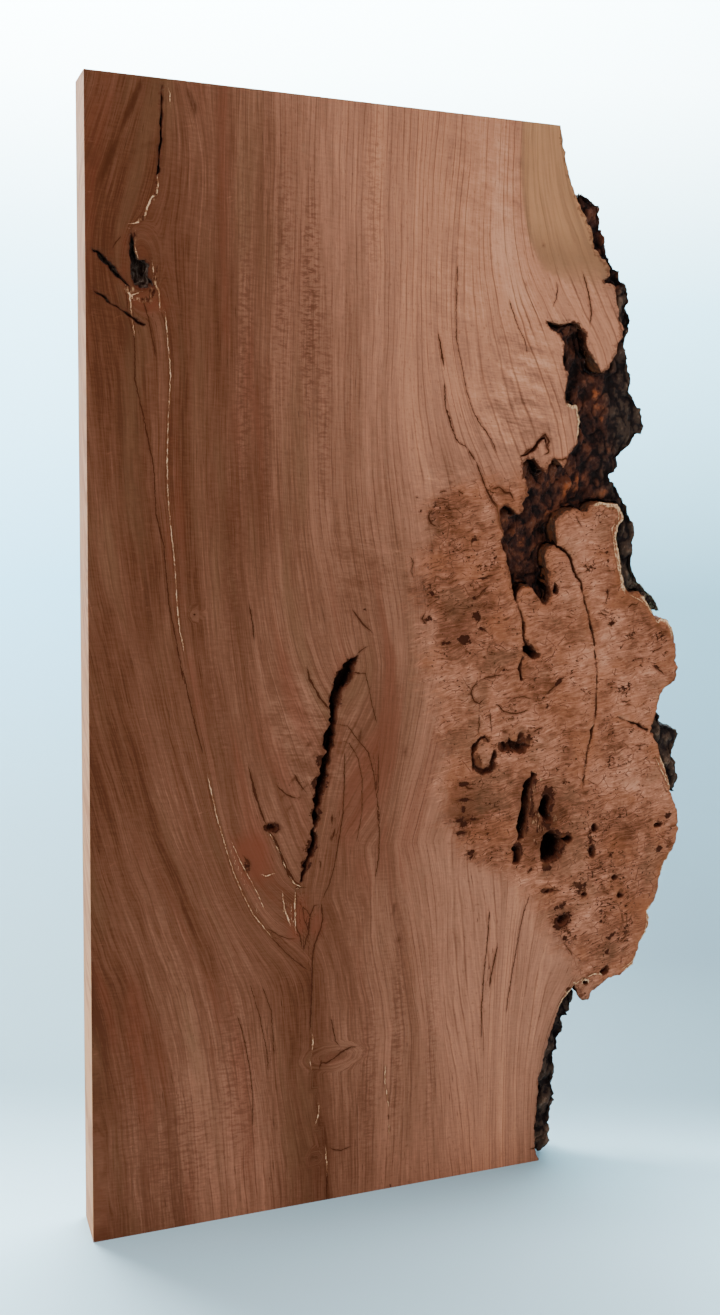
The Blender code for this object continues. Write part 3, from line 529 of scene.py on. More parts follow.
facePatches = {
    # Dark stain, single brown flecks and curls of the crotch figure.
    "stain": [
        (304, 500, 26, 34, 10, .6), (290, 540, 26, 60, 0, .3), (318, 350, 20, 36, 0, .6),
        (322, 388, 16, 14, 0, .3), (310, 578, 26, 14, 20, .35), (335, 520, 12, 22, 0, .3),
        (298, 545, 22, 12, 25, .35), (332, 592, 20, 10, 0, .25), (315, 494, 14, 7, 15, .5),
        (392, 330, 28, 52, 0, .7), (379, 345, 12, 38, 8, .75), (412, 300, 26, 30, -20, .5),
        (424, 234, 16, 13, 25, .5), (468, 225, 44, 34, 20, .32), (440, 258, 40, 22, 0, .25),
        (502, 240, 18, 50, -15, .25), (480, 470, 30, 30, 0, .12), (178, 436, 14, 14, 0, .4),
        (180, 400, 16, 26, -30, .35), (170, 372, 20, 14, -35, .3), (160, 350, 18, 12, 0, .3),
        (149, 343, 10, 7, -18, .9), (208, 476, 13, 12, 0, .35), (44, 776, 20, 28, 0, .5),
        (40, 850, 22, 24, -20, .25), (62, 880, 26, 18, 0, .25), (15, 780, 14, 20, 0, .4),
        (22, 752, 24, 12, -30, .3), (34, 893, 4, 34, -24, .8), (18, 855, 4, 30, -22, .75),
        (79, 899, 4, 16, 22, .8), (48, 868, 12, 3, 24, .6), (66, 876, 8, 3, -20, .5),
        (26, 872, 10, 40, -24, .3), (62, 848, 5, 16, 0, .3), (58, 806, 10, 12, 0, .3),
        (212, 134, 24, 9, -8, .5), (190.8, 41.5, 6, 6, 0, .8), (395, 105, 8, 46, 4, .3),
        (356, 196, 4, 26, 4, .5), (240, 156, 12, 8, 30, .35), (360, 785, 30, 10, -8, .3),
        (128, 312, 12, 12, 0, .35), (200, 200, 16, 50, 0, .2), (5, 855, 7, 12, 0, .5),
        (90, 60, 40, 50, 0, .12), (345, 556, 28, 30, 0, .34), (358, 448, 26, 30, 0, .30),
        (390, 470, 16, 60, 0, .2), (223, 416, 2.6, 9, -10, .8), (262, 402, 3.4, 9, 8, .85),
        (260, 262, 3.5, 8, 0, .8), (263, 233, 4, 8, 10, .8), (262, 291, 2, 4, 0, .7),
        (164, 483, 3, 3, 0, .6), (178, 425, 4, 3, 0, .6), (219, 425, 3, 5, 20, .6),
        (200, 330, 2, 5, 0, .75), (158, 393, 8, 2.2, 40, .7), (168, 396, 6, 2, 40, .7),
        (181, 400, 8, 2.2, 38, .75), (165, 382, 8, 2.2, 42, .7), (175, 375, 7, 2, 42, .7),
        (172, 367, 5, 2, 45, .6), (157, 369, 6, 1.8, 42, .6), (163, 359, 6, 1.8, 45, .6),
        (151, 385, 5, 1.8, 45, .6), (178, 412, 6, 2.4, 35, .7), (187, 408, 5, 2, 40, .6),
        (186, 100, 7, 60, 0, .25), (395, 771, 4, 2, 0, .9), (372, 820.5, 2, 1.6, 0, 1),
        (395, 92, 2, 2.6, 0, 1),
    ],
    "red": [
        (132, 318, 20, 30, 18, .8), (172, 262, 13, 24, 0, .8), (188, 256, 9, 20, 0, .6),
        (208, 474, 16, 18, 0, .5), (46, 756, 20, 10, -10, .6), (68, 560, 9, 120, 3, .3),
        (86, 450, 8, 60, 12, .35), (196, 400, 14, 60, -12, .3), (60, 660, 9, 80, 0, .25),
        (30, 790, 24, 40, 0, .3), (205, 132, 18, 8, 0, .4), (182, 225, 10, 30, 0, .3),
    ],
    "orange": [
        (315, 368, 18, 40, 0, .7), (413, 430, 34, 30, 0, .6), (350, 440, 26, 22, 0, .35),
        (430, 540, 16, 46, 0, .3), (424, 470, 40, 90, 0, .3), (520, 300, 12, 60, 0, .5),
        (400, 258, 30, 18, 0, .4), (505, 225, 10, 40, -15, .6), (488, 185, 20, 8, 20, .6),
        (380, 380, 16, 16, 0, .4), (366, 405, 8, 12, 0, .8), (390, 285, 20, 16, 0, .4),
        (275, 220, 12, 90, 0, .25),
    ],
    "light": [
        (472, 358, 34, 44, 0, .6), (500, 330, 20, 40, 0, .3), (440, 500, 24, 90, 0, .4),
        (480, 420, 40, 50, 0, .35), (430, 560, 26, 40, 0, .4), (380, 540, 24, 40, 0, .3),
        (345, 385, 20, 22, 0, .3), (412, 588, 18, 14, 0, .6), (403, 562, 13, 10, 0, .4),
        (375, 508, 12, 20, 0, .4), (480, 350, 30, 30, 0, .25), (455, 380, 14, 40, 0, .3),
        (445, 500, 8, 60, 0, .2), (332, 600, 8, 12, 40, .5), (346, 512, 11, 10, 0, .35),
        (450, 172, 12, 6, 20, .5), (475, 560, 10, 10, 0, .2), (350, 640, 30, 16, -30, .3),
        (434, 745, 10, 16, 0, .35),
    ],
    # Clusters of small dark eyes, and the single marks among them.
    "speck": [
        (474, 446, 8, 7, 0, .7), (437, 570, 9, 7, 0, .7), (431, 556, 6, 6, 0, .9),
        (456, 509, 12, 6, 0, .8), (449, 304, 7, 16, 0, .9), (470, 293, 5, 7, 0, .8),
        (440, 264, 12, 9, 0, .9), (410, 264, 12, 4, 0, .8), (480, 268, 8, 4, 0, .8),
        (428, 216, 10, 12, -40, .6), (320, 368, 12, 5, 0, .8), (322, 354, 12, 4, 0, .8),
        (320, 336, 14, 5, 0, .8), (320, 324, 10, 4, 0, .7), (486, 505, 7, 6, 0, .6),
        (480, 494, 6, 6, 0, .6), (505, 492, 5, 4, 0, .7), (491, 225, 14, 20, 0, .4),
        (476, 200, 12, 16, 0, .4), (519, 308, 7, 10, 0, .4), (300, 540, 24, 30, 20, .3),
        (312, 578, 24, 12, 20, .35), (330, 486, 20, 10, 0, .3), (485, 380, 22, 18, 0, .25),
        (450, 330, 40, 20, 0, .22), (470, 250, 44, 60, 0, .3), (290, 600, 20, 14, 20, .3),
        (350, 560, 24, 20, 0, .25), (165, 372, 18, 16, -30, .35), (182, 432, 12, 12, 0, .35),
        (208, 480, 14, 12, 0, .4), (190, 470, 20, 20, 0, .2),
    ],
    "mark": [
        (320.6, 579, 5, 2.2, 15, 1), (341, 563, 4.5, 1.8, 0, 1), (329, 546, 7, 1.2, 0, .9),
        (322.8, 529.5, 2.6, 2, 30, 1), (321, 523.6, 1.6, 1.4, 0, 1), (326.5, 513.5, 2.6, 4.2, 20, 1.2),
        (331, 503.3, 4.2, 1.8, -15, 1.2), (314.5, 494.6, 8, 5.5, 0, 1.1), (299, 491.5, 6, 1.6, 0, .9),
        (282, 513, 5, 3, 0, .9), (354, 467, 4.5, 1.2, -4, 1), (320.5, 557, 3, 1.4, 10, .8),
        (439, 593.5, 2, 1.6, 0, .9), (448, 567.5, 1.8, 1.6, 0, 1), (450, 560, 2.2, 1.8, 0, 1),
        (431, 548, 2, 1.2, 0, .9), (450.6, 533.4, 1.8, 3, 0, 1), (457, 504.5, 4, 2, 15, 1),
        (505.8, 464, 3, 1.6, -30, 1), (481, 471, 1.8, 1, 0, .9), (520.9, 293, 4.5, 2.6, 0, 1.1),
        (475.8, 269, 2.4, 2, 0, 1), (482, 254.5, 3.4, 4, -30, 1.1), (404, 264, 5, 2.6, 0, 1.1),
        (415, 263, 4, 1.4, 0, 1), (444, 255, 4, 3, 0, 1), (497, 223, 2, 2, 0, .8),
        (490, 240.5, 2.6, 1.4, 0, .8), (476, 214, 5, 2.4, 35, .9), (472, 198, 2.8, 3.4, 0, 1.1),
        (471, 181, 5, 4, 0, 1.1), (424, 233, 12, 9, 25, 1.05), (421, 248, 9, 4, 20, .8),
        (451, 160, 1.4, 1.4, 0, 1), (319, 368, 6, 2.6, -8, 1.1), (321, 354, 7, 2.2, 0, 1.1),
        (320, 345, 2.4, 4, 0, 1), (317, 336, 5, 2.2, 10, 1.1), (330, 336, 5, 1.6, 0, .9),
        (318, 324.5, 5, 1.8, 0, 1.1), (397, 434, 3, 2.6, 0, 1), (393, 441, 2, 1.6, 0, 1),
        (407, 454, 5, 2.4, 50, 1), (415, 418, 1.2, 1.2, 0, 1), (448, 305, 3, 2.4, 0, 1),
        (451, 298, 3, 3.4, 0, 1), (447, 315, 2, 4, 0, 1), (279, 512, 5, 3, 40, .8),
        (270, 602, 4, 1.6, 0, .6), (148, 343, 7, 4.5, -18, 1.1), (127, 311, 4, 5, 0, .9),
        (207.5, 468, 7.5, 7, 0, 1.2), (202, 458, 6, 6, 0, 1.1), (196, 415, 5, 7, 0, 1.1),
        (190, 397, 7, 6, 0, 1.2), (188, 378, 8, 8, 0, 1.2), (187, 366, 6, 5, 0, 1),
        (186, 353, 6, 5, 0, 1.1), (183, 324, 5.5, 8, 0, 1.2), (178, 308, 5, 6, 0, 1),
        (200.5, 446, 6, 7, 0, 1), (147, 343, 8, 5, 0, 1.2), (386, 367, 6, 6, 0, 1.1),
        (383.5, 349, 6, 18, 4, 1.1), (380, 326, 5, 14, 2, 1.1), (375, 303, 6, 11, 0, 1.1),
        (402, 347, 8, 16, 0, 1.2), (402, 327, 6, 9, 0, 1.1), (410, 305, 13, 17, 0, 1.2),
        (422, 312, 9, 5, 0, 1.1), (404, 286, 6, 6, 0, 1), (378, 480, 9, 4, -10, 1),
        (374, 490, 3, 5, 0, .9), (340, 407, 5, 3, 0, 1), (332, 388, 5, 8, 20, 1.1),
        (339, 378, 6, 4, 0, 1.1), (366, 397, 12, 3.5, 0, 1.1), (380, 404, 3.4, 8, 0, 1),
        (449, 300, 3, 4, 0, 1), (426.7, 216.5, 3, 3, 0, 1), (472.6, 211.3, 3, 3, 0, .9),
        (519, 317, 3, 3, 0, .9), (529, 325, 2.4, 2.4, 0, .9), (472.4, 441.7, 2, 2, 0, .9),
        (463.8, 228.7, 3, 2, 0, .9), (321, 332, 5, 3, 0, 1), (330, 306, 3, 4, 0, .9),
        (284, 534, 3, 3, 0, .8), (325, 515, 4, 4, 0, 1), (82, 521, 1.5, 1.5, 0, 1),
        (388, 284.6, 3.6, 2, 40, .9), (213, 480, 7, 5, 20, .6), (224, 523, 4, 2, -40, .5),
    ],
    # Torn wood with loose fibres.
    "fray": [
        (391, 334, 5, 12, 0, .9), (383, 344, 3.5, 12, -8, .7), (388, 360, 3, 9, 20, .7),
        (396, 322, 6, 6, 0, .8), (410, 331, 3, 5, 0, .7), (392, 310, 3, 5, 30, .7),
        (377, 313, 4, 1.6, 0, .8), (394, 367, 6, 2, 10, .6), (50, 768, 3, 18, -12, .8),
        (35, 795, 2.4, 14, -10, .8), (32, 764, 6, 4, 0, .7), (44, 757, 9, 4, -8, .6),
        (52, 836, 3, 12, -10, .6), (42, 815, 6, 3, 40, .7), (441, 609, 5, 2.5, 0, .8),
        (450, 606, 6, 3, 0, .7), (456, 592, 3.5, 7, 0, .7), (433, 166, 5, 3, 40, .7),
        (450, 175, 8, 2, 8, .6), (374, 303, 1.6, 6, 0, .6), (160, 272, 3, 10, -14, .5),
        (170, 270, 1.6, 16, 0, .5), (419, 321, 3, 2, -30, .6),
    ],
    # Edges with a pale torn rim.
    "torn": [
        (409, 682, 9, 20, 0, 1), (445, 608, 12, 5, 0, 1), (457, 590, 7, 22, 0, 1),
        (463, 550, 8, 22, 0, .9), (487, 520, 18, 8, 0, 1), (429, 160, 8, 14, 0, 1),
        (450, 177, 18, 7, 0, 1), (496, 184, 12, 7, 0, 1), (511, 218, 7, 24, 0, 1),
        (528, 280, 7, 14, 0, .8), (521, 362, 14, 20, 0, 1), (512, 500, 12, 12, 0, .8),
    ],
    # Columns of short dark dashes in the heartwood.
    "mottle": [
        (120, 700, 9, 150, 0, .7), (150, 780, 9, 110, 0, .6), (172, 760, 9, 100, 0, .9),
        (186, 690, 6, 110, 0, .6), (138, 640, 7, 90, 0, .6), (112, 560, 8, 90, 2, .7),
        (100, 450, 8, 70, 10, .5), (70, 70, 44, 70, 0, .5), (120, 130, 20, 110, 4, .5),
        (240, 110, 10, 90, 0, .5), (265, 150, 7, 120, 0, .6), (298, 130, 7, 120, 0, .4),
        (40, 600, 20, 160, 0, .3), (222, 840, 10, 70, 0, .4), (60, 830, 60, 70, 0, .2),
        (30, 130, 20, 110, 0, .5),
    ],
    # Curl across the grain.
    "curl": [
        (360, 700, 48, 64, -14, 1), (330, 860, 60, 60, 0, .35), (300, 780, 40, 80, 0, .3),
        (385, 740, 26, 30, 0, .5), (230, 560, 40, 40, 0, .3), (180, 420, 34, 60, 20, .6),
        (420, 800, 24, 34, 0, .4), (300, 620, 40, 26, 0, .6),
    ],
}
# Sapwood along the top of the live edge.
sapBorder = [(914, 349), (880, 350), (860, 352), (845, 355), (825, 360), (810, 368), (800, 374),
             (790, 400), (780, 430)]
# Where the burl begins on the face, as (z, x).
burlBorder = [(660, 352), (640, 322), (620, 286), (600, 270), (560, 262), (540, 266), (470, 280),
              (400, 294), (330, 300), (300, 322), (288, 350), (272, 376), (255, 392), (220, 408),
              (190, 432), (165, 448)]


def patchField(patches, x, z):
    total = np.zeros(len(x))
    for centreX, centreZ, wide, high, turn, strength in patches:
        lean = math.radians(turn)
        across = (x - centreX) * math.cos(lean) + (z - centreZ) * math.sin(lean)
        up = (z - centreZ) * math.cos(lean) - (x - centreX) * math.sin(lean)
        away = np.hypot(across / wide, up / high)
        total = np.maximum(total, strength * (1 - ease(0.25, 1.35, away)))
    return total


def burlMask(x, z):
    border = curveAlongHeight(burlBorder, z)
    wander = 10 * bumps(x, 0 * x, z, 26, 3) + 4 * bumps(x, 0 * x, z, 9, 8)
    return ease(-30, 34, x - border + wander) * (1 - ease(600, 670, z + wander)) * ease(140, 180, z)


# The sawn slab.

slabLook = {
    "cell": 5.4,
    "skin": 0.02,
    "layers": 5,
    "margin": 10,
    "planeEdge": 0.05,
    "wallCuts": 3,
    "smoothing": (0.5, 3),
    "nearLine": 3.2,
    # Size and height of the bumps on the live edge and in the cracks.
    "edgeBumps": ((7.0, 1.1, 11.3), (3.3, 1.5, 47.7), (1.8, 0.6, 85.1)),
    # The two sides of a crack swell and shrink by themselves: size, height, height in the crotch crack.
    "sideBumps": ((9.0, 0.5, 2.6, 21.9), (4.0, 0.6, 1.6, 63.3)),
    "crotchCrack": (165, 225, 285, 480),
    # The hollows among the eyes, and the share of the crotch crack's raggedness that they get.
    "eyeHollows": (318, 432, 278, 412),
    "eyeShare": 0.65,
    # The long crack in the burl closes to a hairline at its foot: box, and the closing of each side.
    "burlCrack": (425, 482, 370, 620),
    "closing": (0.15, 0.75),
    "hollowReach": 26,
    "farthest": 20,
}


def copyNode(node, name):
    piece = bpy.data.objects.new(name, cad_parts[node].data.copy())
    bpy.context.scene.collection.objects.link(piece)
    piece.data.name = name
    piece.data.materials.clear()
    pick(piece)
    bpy.ops.object.mode_set(mode="EDIT")
    bpy.ops.mesh.select_all(action="SELECT")
    bpy.ops.mesh.remove_doubles(threshold=0.00001)
    bpy.ops.object.mode_set(mode="OBJECT")
    return piece


def onSawnPlane(points):
    # True on the two faces, the two ends and the straight edge.
    x, z, depth = slabCoords(points)
    edge = slabLook["planeEdge"]
    flat = (depth < edge) | (depth > slab["thickness"] - edge)
    return flat | (x < edge) | (z < edge) | (z > slab["height"] - edge)


def roughenWalls(stock):
    centres = faceFacts(stock.data)[0]
    editFaces(stock, ~onSawnPlane(centres), bpy.ops.mesh.subdivide, number_cuts=slabLook["wallCuts"])
    points = pointsOf(stock.data)
    pick(stock)
    selectVertices(stock, ~onSawnPlane(points))
    bpy.ops.object.mode_set(mode="EDIT")
    bpy.ops.mesh.select_mode(type="VERT")
    share, rounds = slabLook["smoothing"]
    bpy.ops.mesh.vertices_smooth(factor=share, repeat=rounds)
    bpy.ops.object.mode_set(mode="OBJECT")
    points = pointsOf(stock.data)
    x, z, depth = slabCoords(points)
    corner = (x < 0.1) | (z < 0.1) | (z > slab["height"] - 0.1)
    inPlane = np.where(corner, 0.0, 1.0)
    outOfPlane = np.where(onSawnPlane(points), 0.0, 1.0)
    for size, height, seed in slabLook["edgeBumps"]:
        points[:, 0] += mm * height * inPlane * bumps(x, depth, z, size, seed)
        points[:, 2] += mm * height * inPlane * bumps(x, depth, z, size, seed + 31)
        points[:, 1] += mm * height * outOfPlane * bumps(x, depth, z, size, seed + 57)
    normals = vertexNormals(stock.data) * (1, 0, 1)
    normals /= np.maximum(np.linalg.norm(normals, axis=1), 0.2)[:, None]
    left, right, low, high = slabLook["crotchCrack"]
    inCrack = ease(left, left + 4, x) * ease(right, right - 4, x)
    inCrack *= ease(low, low + 20, z) * ease(high, high - 12, z)
    left, right, low, high = slabLook["eyeHollows"]
    inCrack[(x > left) & (x < right) & (z > low) & (z < high)] = slabLook["eyeShare"]
    for size, height, crackHeight, seed in slabLook["sideBumps"]:
        push = bumps(x, depth * 0.5, z, size, seed) * (height + (crackHeight - height) * inCrack)
        points += normals * (push * inPlane)[:, None] * mm
    left, right, low, high = slabLook["burlCrack"]
    inBurlCrack = (x > left) & (x < right) & (z > low) & (z < high)
    atTop, atFoot = slabLook["closing"]
    close = atTop + (atFoot - atTop) * ease(high, low, z)
    points += normals * (close * inBurlCrack)[:, None] * mm
    putPoints(stock.data, points)


def addBlock():
    # A board with a grid on both faces, a little inside the sawn planes.
    skin = slabLook["skin"]
    wide = (woodHigh.x - woodLow.x) / mm + slabLook["margin"]
    high = slab["height"] - 2 * skin
    columns = round(wide / slabLook["cell"])
    rows = round(high / slabLook["cell"])
    deselectAll()
    bpy.ops.mesh.primitive_grid_add(x_subdivisions=columns, y_subdivisions=rows, size=1)
    block = bpy.context.object
    block.rotation_euler = (math.pi / 2, 0, 0)
    block.scale = (wide * mm, high * mm, 1)
    block.location = (slab["left"] + (skin + wide / 2) * mm, slab["front"] + skin * mm, woodHigh.z / 2)
    bpy.ops.object.transform_apply(location=True, rotation=True, scale=True)
    step = (slab["thickness"] - 2 * skin) * mm / slabLook["layers"]
    bpy.ops.object.mode_set(mode="EDIT")
    bpy.ops.mesh.select_all(action="SELECT")
    for _ in range(slabLook["layers"]):
        bpy.ops.mesh.extrude_region_move(TRANSFORM_OT_translate={"value": (0, step, 0)})
    bpy.ops.mesh.select_all(action="SELECT")
    bpy.ops.mesh.normals_make_consistent(inside=False)
    bpy.ops.object.mode_set(mode="OBJECT")
    return block


def refineBlock(block):
    # Finer cells on the burl, and finer again beside the drawn lines and marks.
    for level in range(2):
        centres, normals = faceFacts(block.data)
        x, z, depth = slabCoords(centres)
        front = (depth < 0.5) & (normals[:, 1] < -0.9)
        gap = np.full(len(x), 99.0)
        for lines in faceLines.values():
            gap = np.minimum(gap, np.abs(distanceToLines(lines, x, z)[0]))
        near = front & (gap < slabLook["nearLine"] + (3 if level == 0 else 0))
        near |= front & (patchField(facePatches["mark"], x, z) > (0 if level == 0 else 0.1))
        near |= front & (patchField(facePatches["fray"], x, z) > 0)
        if level == 0:
            near |= front & (patchField(facePatches["speck"], x, z) > 0.1)
            near |= front & (np.abs(x - curveAlongHeight(sapBorder, z)) < 8) & (z > 780)
            near |= front & (x < 80) & (z > 740)
        editFaces(block, near, bpy.ops.mesh.subdivide, number_cuts=1)


def makeSlab():
    stock = copyNode("wood", "stock")
    roughenWalls(stock)
    print("walls", len(stock.data.polygons))
    board = addBlock()
    board.name = "slabWood"
    board.data.name = "slabWood"
    refineBlock(board)
    print("block", len(board.data.polygons))
    applyModifier(board, "BOOLEAN", operation="INTERSECT", solver="MANIFOLD", object=stock)
    bpy.data.objects.remove(stock, do_unlink=True)
    board.data.materials.clear()
    while board.data.uv_layers:
        board.data.uv_layers.remove(board.data.uv_layers[0])
    print("slab", len(board.data.polygons), "faces", len(board.data.vertices), "points")
    return board


def findHollows(board, points, depth):
    # Walls that look at another wall close by, and floors below the face, belong to a crack or pit.
    normals = vertexNormals(board.data)
    inner = (depth > 0.5) & (depth < slab["thickness"] - 0.5) & ~onSawnPlane(points)
    hollow = np.zeros(len(points))
    hollow[inner & (normals[:, 1] < -0.75)] = 1
    reach = slabLook["hollowReach"] * mm
    for index in np.nonzero(inner & (hollow == 0))[0]:
        way = Vector((normals[index, 0], 0, normals[index, 2]))
        if way.length < 0.2:
            continue
        way.normalize()
        start = Vector(points[index]) + way * 0.3 * mm
        hollow[index] = board.ray_cast(start, way, distance=reach)[0]
    return hollow, inner


def distanceToSet(points, chosen):
    # Distance in mm, in the plane of the face, to the nearest of the chosen points.
    tree = kdtree.KDTree(int(chosen.sum()))
    for index, place in enumerate(points[chosen]):
        tree.insert((place[0], 0, place[2]), index)
    tree.balance()
    found = [tree.find((place[0], 0, place[2]))[2] / mm for place in points]
    return np.minimum(np.array(found), slabLook["farthest"])


def dressSlab(board):
    mesh = board.data
    points = pointsOf(mesh)
    x, z, depth = slabCoords(points)
    ring, tone = readGrain(x, z)
    # Rings are round about the pith, so they move as the depth grows.
    pith = curveAlongHeight(grain["leftLines"][2]["x"], z)
    aside = x - pith
    moved = np.sqrt(aside ** 2 + depth ** 2) - np.abs(aside)
    giveAttribute(mesh, "ring", ring + np.sign(aside) * moved * 0.8)
    giveAttribute(mesh, "tone", tone)
    giveAttribute(mesh, "burl", burlMask(x, z))
    hollow, inner = findHollows(board, points, depth)
    giveAttribute(mesh, "hollow", hollow * ease(0.1, 2.5, depth))
    giveAttribute(mesh, "depth", depth)
    giveAttribute(mesh, "pitGap", distanceToSet(points, inner & (hollow == 1)))
    giveAttribute(mesh, "edgeGap", distanceToSet(points, inner & (hollow == 0)))
    atFront = 1 - ease(6, 16, depth)
    for name, lines in faceLines.items():
        signed, width = distanceToLines(lines, x, z)
        giveAttribute(mesh, name + "Gap", signed)
        giveAttribute(mesh, name + "Width", width * atFront)
    for name, patches in facePatches.items():
        keep = atFront if name == "mark" else np.ones(len(x))
        giveAttribute(mesh, name, patchField(patches, x, z) * keep)
    sap = ease(-3, 3, x - curveAlongHeight(sapBorder, z)) * ease(770, 800, z)
    giveAttribute(mesh, "sap", sap)
    return board


# Materials.

class Wire:
    # A socket that takes part in sums.
    def __init__(self, socket):
        self.socket = socket

    def math(self, operation, other, swapped=False):
        made = self.socket.node.id_data.nodes.new("ShaderNodeMath")
        made.operation = operation
        first, second = (other, self) if swapped else (self, other)
        join(made.inputs[0], first)
        join(made.inputs[1], second)
        return Wire(made.outputs[0])

    def __add__(self, other):
        return self.math("ADD", other)

    def __radd__(self, other):
        return self.math("ADD", other, True)

    def __sub__(self, other):
        return self.math("SUBTRACT", other)

    def __rsub__(self, other):
        return self.math("SUBTRACT", other, True)

    def __mul__(self, other):
        return self.math("MULTIPLY", other)

    def __rmul__(self, other):
        return self.math("MULTIPLY", other, True)

    def __truediv__(self, other):
        return self.math("DIVIDE", other)

    def __rtruediv__(self, other):
        return self.math("DIVIDE", other, True)

    def __abs__(self):
        return self.math("ABSOLUTE", 0.0)


def join(socket, value):
    if isinstance(value, Wire):
        socket.id_data.links.new(value.socket, socket)
    elif isinstance(value, (tuple, list)) and len(value) == 3 and socket.type == "RGBA":
        socket.default_value = (*value, 1)
    else:
        socket.default_value = value


class Finish:
    # A material and the nodes in it.
    def __init__(self, name):
        self.material = bpy.data.materials.new(name)
        self.material.use_nodes = True
        self.tree = self.material.node_tree
        self.shader = self.tree.nodes["Principled BSDF"]
        self.place = self.node("ShaderNodeTexCoord", output="Object")

    def node(self, kind, settings=None, inputs=None, output=0):
        made = self.tree.nodes.new(kind)
        for key, value in (settings or {}).items():
            if key == "stops":
                self.setStops(made.color_ramp, value)
            else:
                setattr(made, key, value)
        for key, value in (inputs or {}).items():
            join(made.inputs[key], value)
        return Wire(made.outputs[output])

    def setStops(self, ramp, stops):
        while len(ramp.elements) < len(stops):
            ramp.elements.new(1.0)
        for element, (place, colour) in zip(ramp.elements, stops):
            element.position = place
            element.color = (*colour, 1)

    def attribute(self, name):
        return self.node("ShaderNodeAttribute", {"attribute_name": name}, output="Fac")

    def noise(self, vector, detail=2.0, roughness=0.5):
        return self.node("ShaderNodeTexNoise", {"noise_dimensions": "3D"},
                         {"Vector": vector, "Scale": 1.0, "Detail": detail, "Roughness": roughness}, "Fac")

    def cloud(self, scale, shift=(0, 0, 0), detail=2.0, roughness=0.5):
        # Noise fixed to the piece, with so many cells per metre along x, y and z.
        moved = self.node("ShaderNodeMapping", {"vector_type": "POINT"},
                          {"Vector": self.place, "Scale": scale, "Location": shift})
        return self.noise(moved, detail, roughness)

    def step(self, value, low, high):
        # 0 below low and 1 above high, the other way round when low is the larger.
        return self.node("ShaderNodeMapRange", {"interpolation_type": "SMOOTHSTEP"},
                         {0: value, 1: low, 2: high, 3: 0.0, 4: 1.0})

    def mix(self, share, first, second, blend="MIX"):
        return self.node("ShaderNodeMix", {"data_type": "RGBA", "blend_type": blend},
                         {0: share, 6: first, 7: second}, 2)

    def ramp(self, value, stops):
        return self.node("ShaderNodeValToRGB", {"stops": stops}, {0: value})

    def vector(self, x, y, z):
        return self.node("ShaderNodeCombineXYZ", None, {0: x, 1: y, 2: z})

    def parts(self, vector):
        made = self.tree.nodes.new("ShaderNodeSeparateXYZ")
        join(made.inputs[0], vector)
        return [Wire(socket) for socket in made.outputs]

    def bump(self, height, distance, strength=1.0):
        return self.node("ShaderNodeBump", None,
                         {"Height": height, "Distance": distance, "Strength": strength})

    def finish(self, colour, roughness, normal=None, **fixed):
        join(self.shader.inputs["Base Color"], colour)
        join(self.shader.inputs["Roughness"], roughness)
        if normal:
            join(self.shader.inputs["Normal"], normal)
        for name, value in fixed.items():
            self.shader.inputs[name.replace("_", " ")].default_value = value
        return self.material


woodLook = {
    "deepHeart": (0.070, 0.019, 0.008),
    "darkHeart": (0.098, 0.030, 0.013),
    "heart": (0.141, 0.050, 0.025),
    "warmHeart": (0.199, 0.076, 0.041),
    "rose": (0.290, 0.112, 0.063),
    "tan": (0.405, 0.152, 0.080),
    "paleTan": (0.545, 0.232, 0.130),
    "olive": (0.130, 0.058, 0.026),
    "redStain": (0.140, 0.034, 0.016),
    "line": (0.046, 0.011, 0.004),
    "stain": (0.074, 0.020, 0.008),
    "fibre": (0.56, 0.33, 0.18),
    "fibreDark": (0.21, 0.088, 0.038),
    "fray": (0.36, 0.19, 0.095),
    "frayDark": (0.130, 0.050, 0.022),
    "sapwood": (0.390, 0.168, 0.074),
    "sapDark": (0.170, 0.080, 0.038),
    "burlDark": (0.056, 0.014, 0.005),
    "burlBrown": (0.112, 0.033, 0.014),
    "burlBase": (0.205, 0.068, 0.033),
    "burlLight": (0.302, 0.107, 0.057),
    "burlPale": (0.425, 0.165, 0.094),
    "burlGrey": (0.120, 0.051, 0.024),
    "burlOrange": (0.255, 0.076, 0.030),
    "burlEye": (0.030, 0.007, 0.003),
    "sawnEdge": (0.56, 0.235, 0.108),
    "sawnEdgeDark": (0.40, 0.155, 0.070),
    "mottle": (0.088, 0.024, 0.011),
    "liveWall": (0.050, 0.023, 0.014),
    "rim": (0.085, 0.022, 0.010),
    # Insides of cracks and pits: red-brown gum that goes near black deep down, partly dark gum and partly
    # painted shade.
    "hollowRed": (0.050, 0.014, 0.007),
    "hollowDarkAndShade": (0.007, 0.003, 0.002),
    # Painted highlight: pale glints on the gum near the mouth of cracks and pits.
    "paintedGlint": (0.150, 0.085, 0.055),
}


def alongGrain(wood, at, across, along, seed, detail=2, roughness=0.5):
    # Noise drawn out along the grain, with so many cells per mm across the rings and up the slab.
    return wood.noise(wood.vector(at["ring"] * across, at["pz"] * along, seed), detail, roughness)


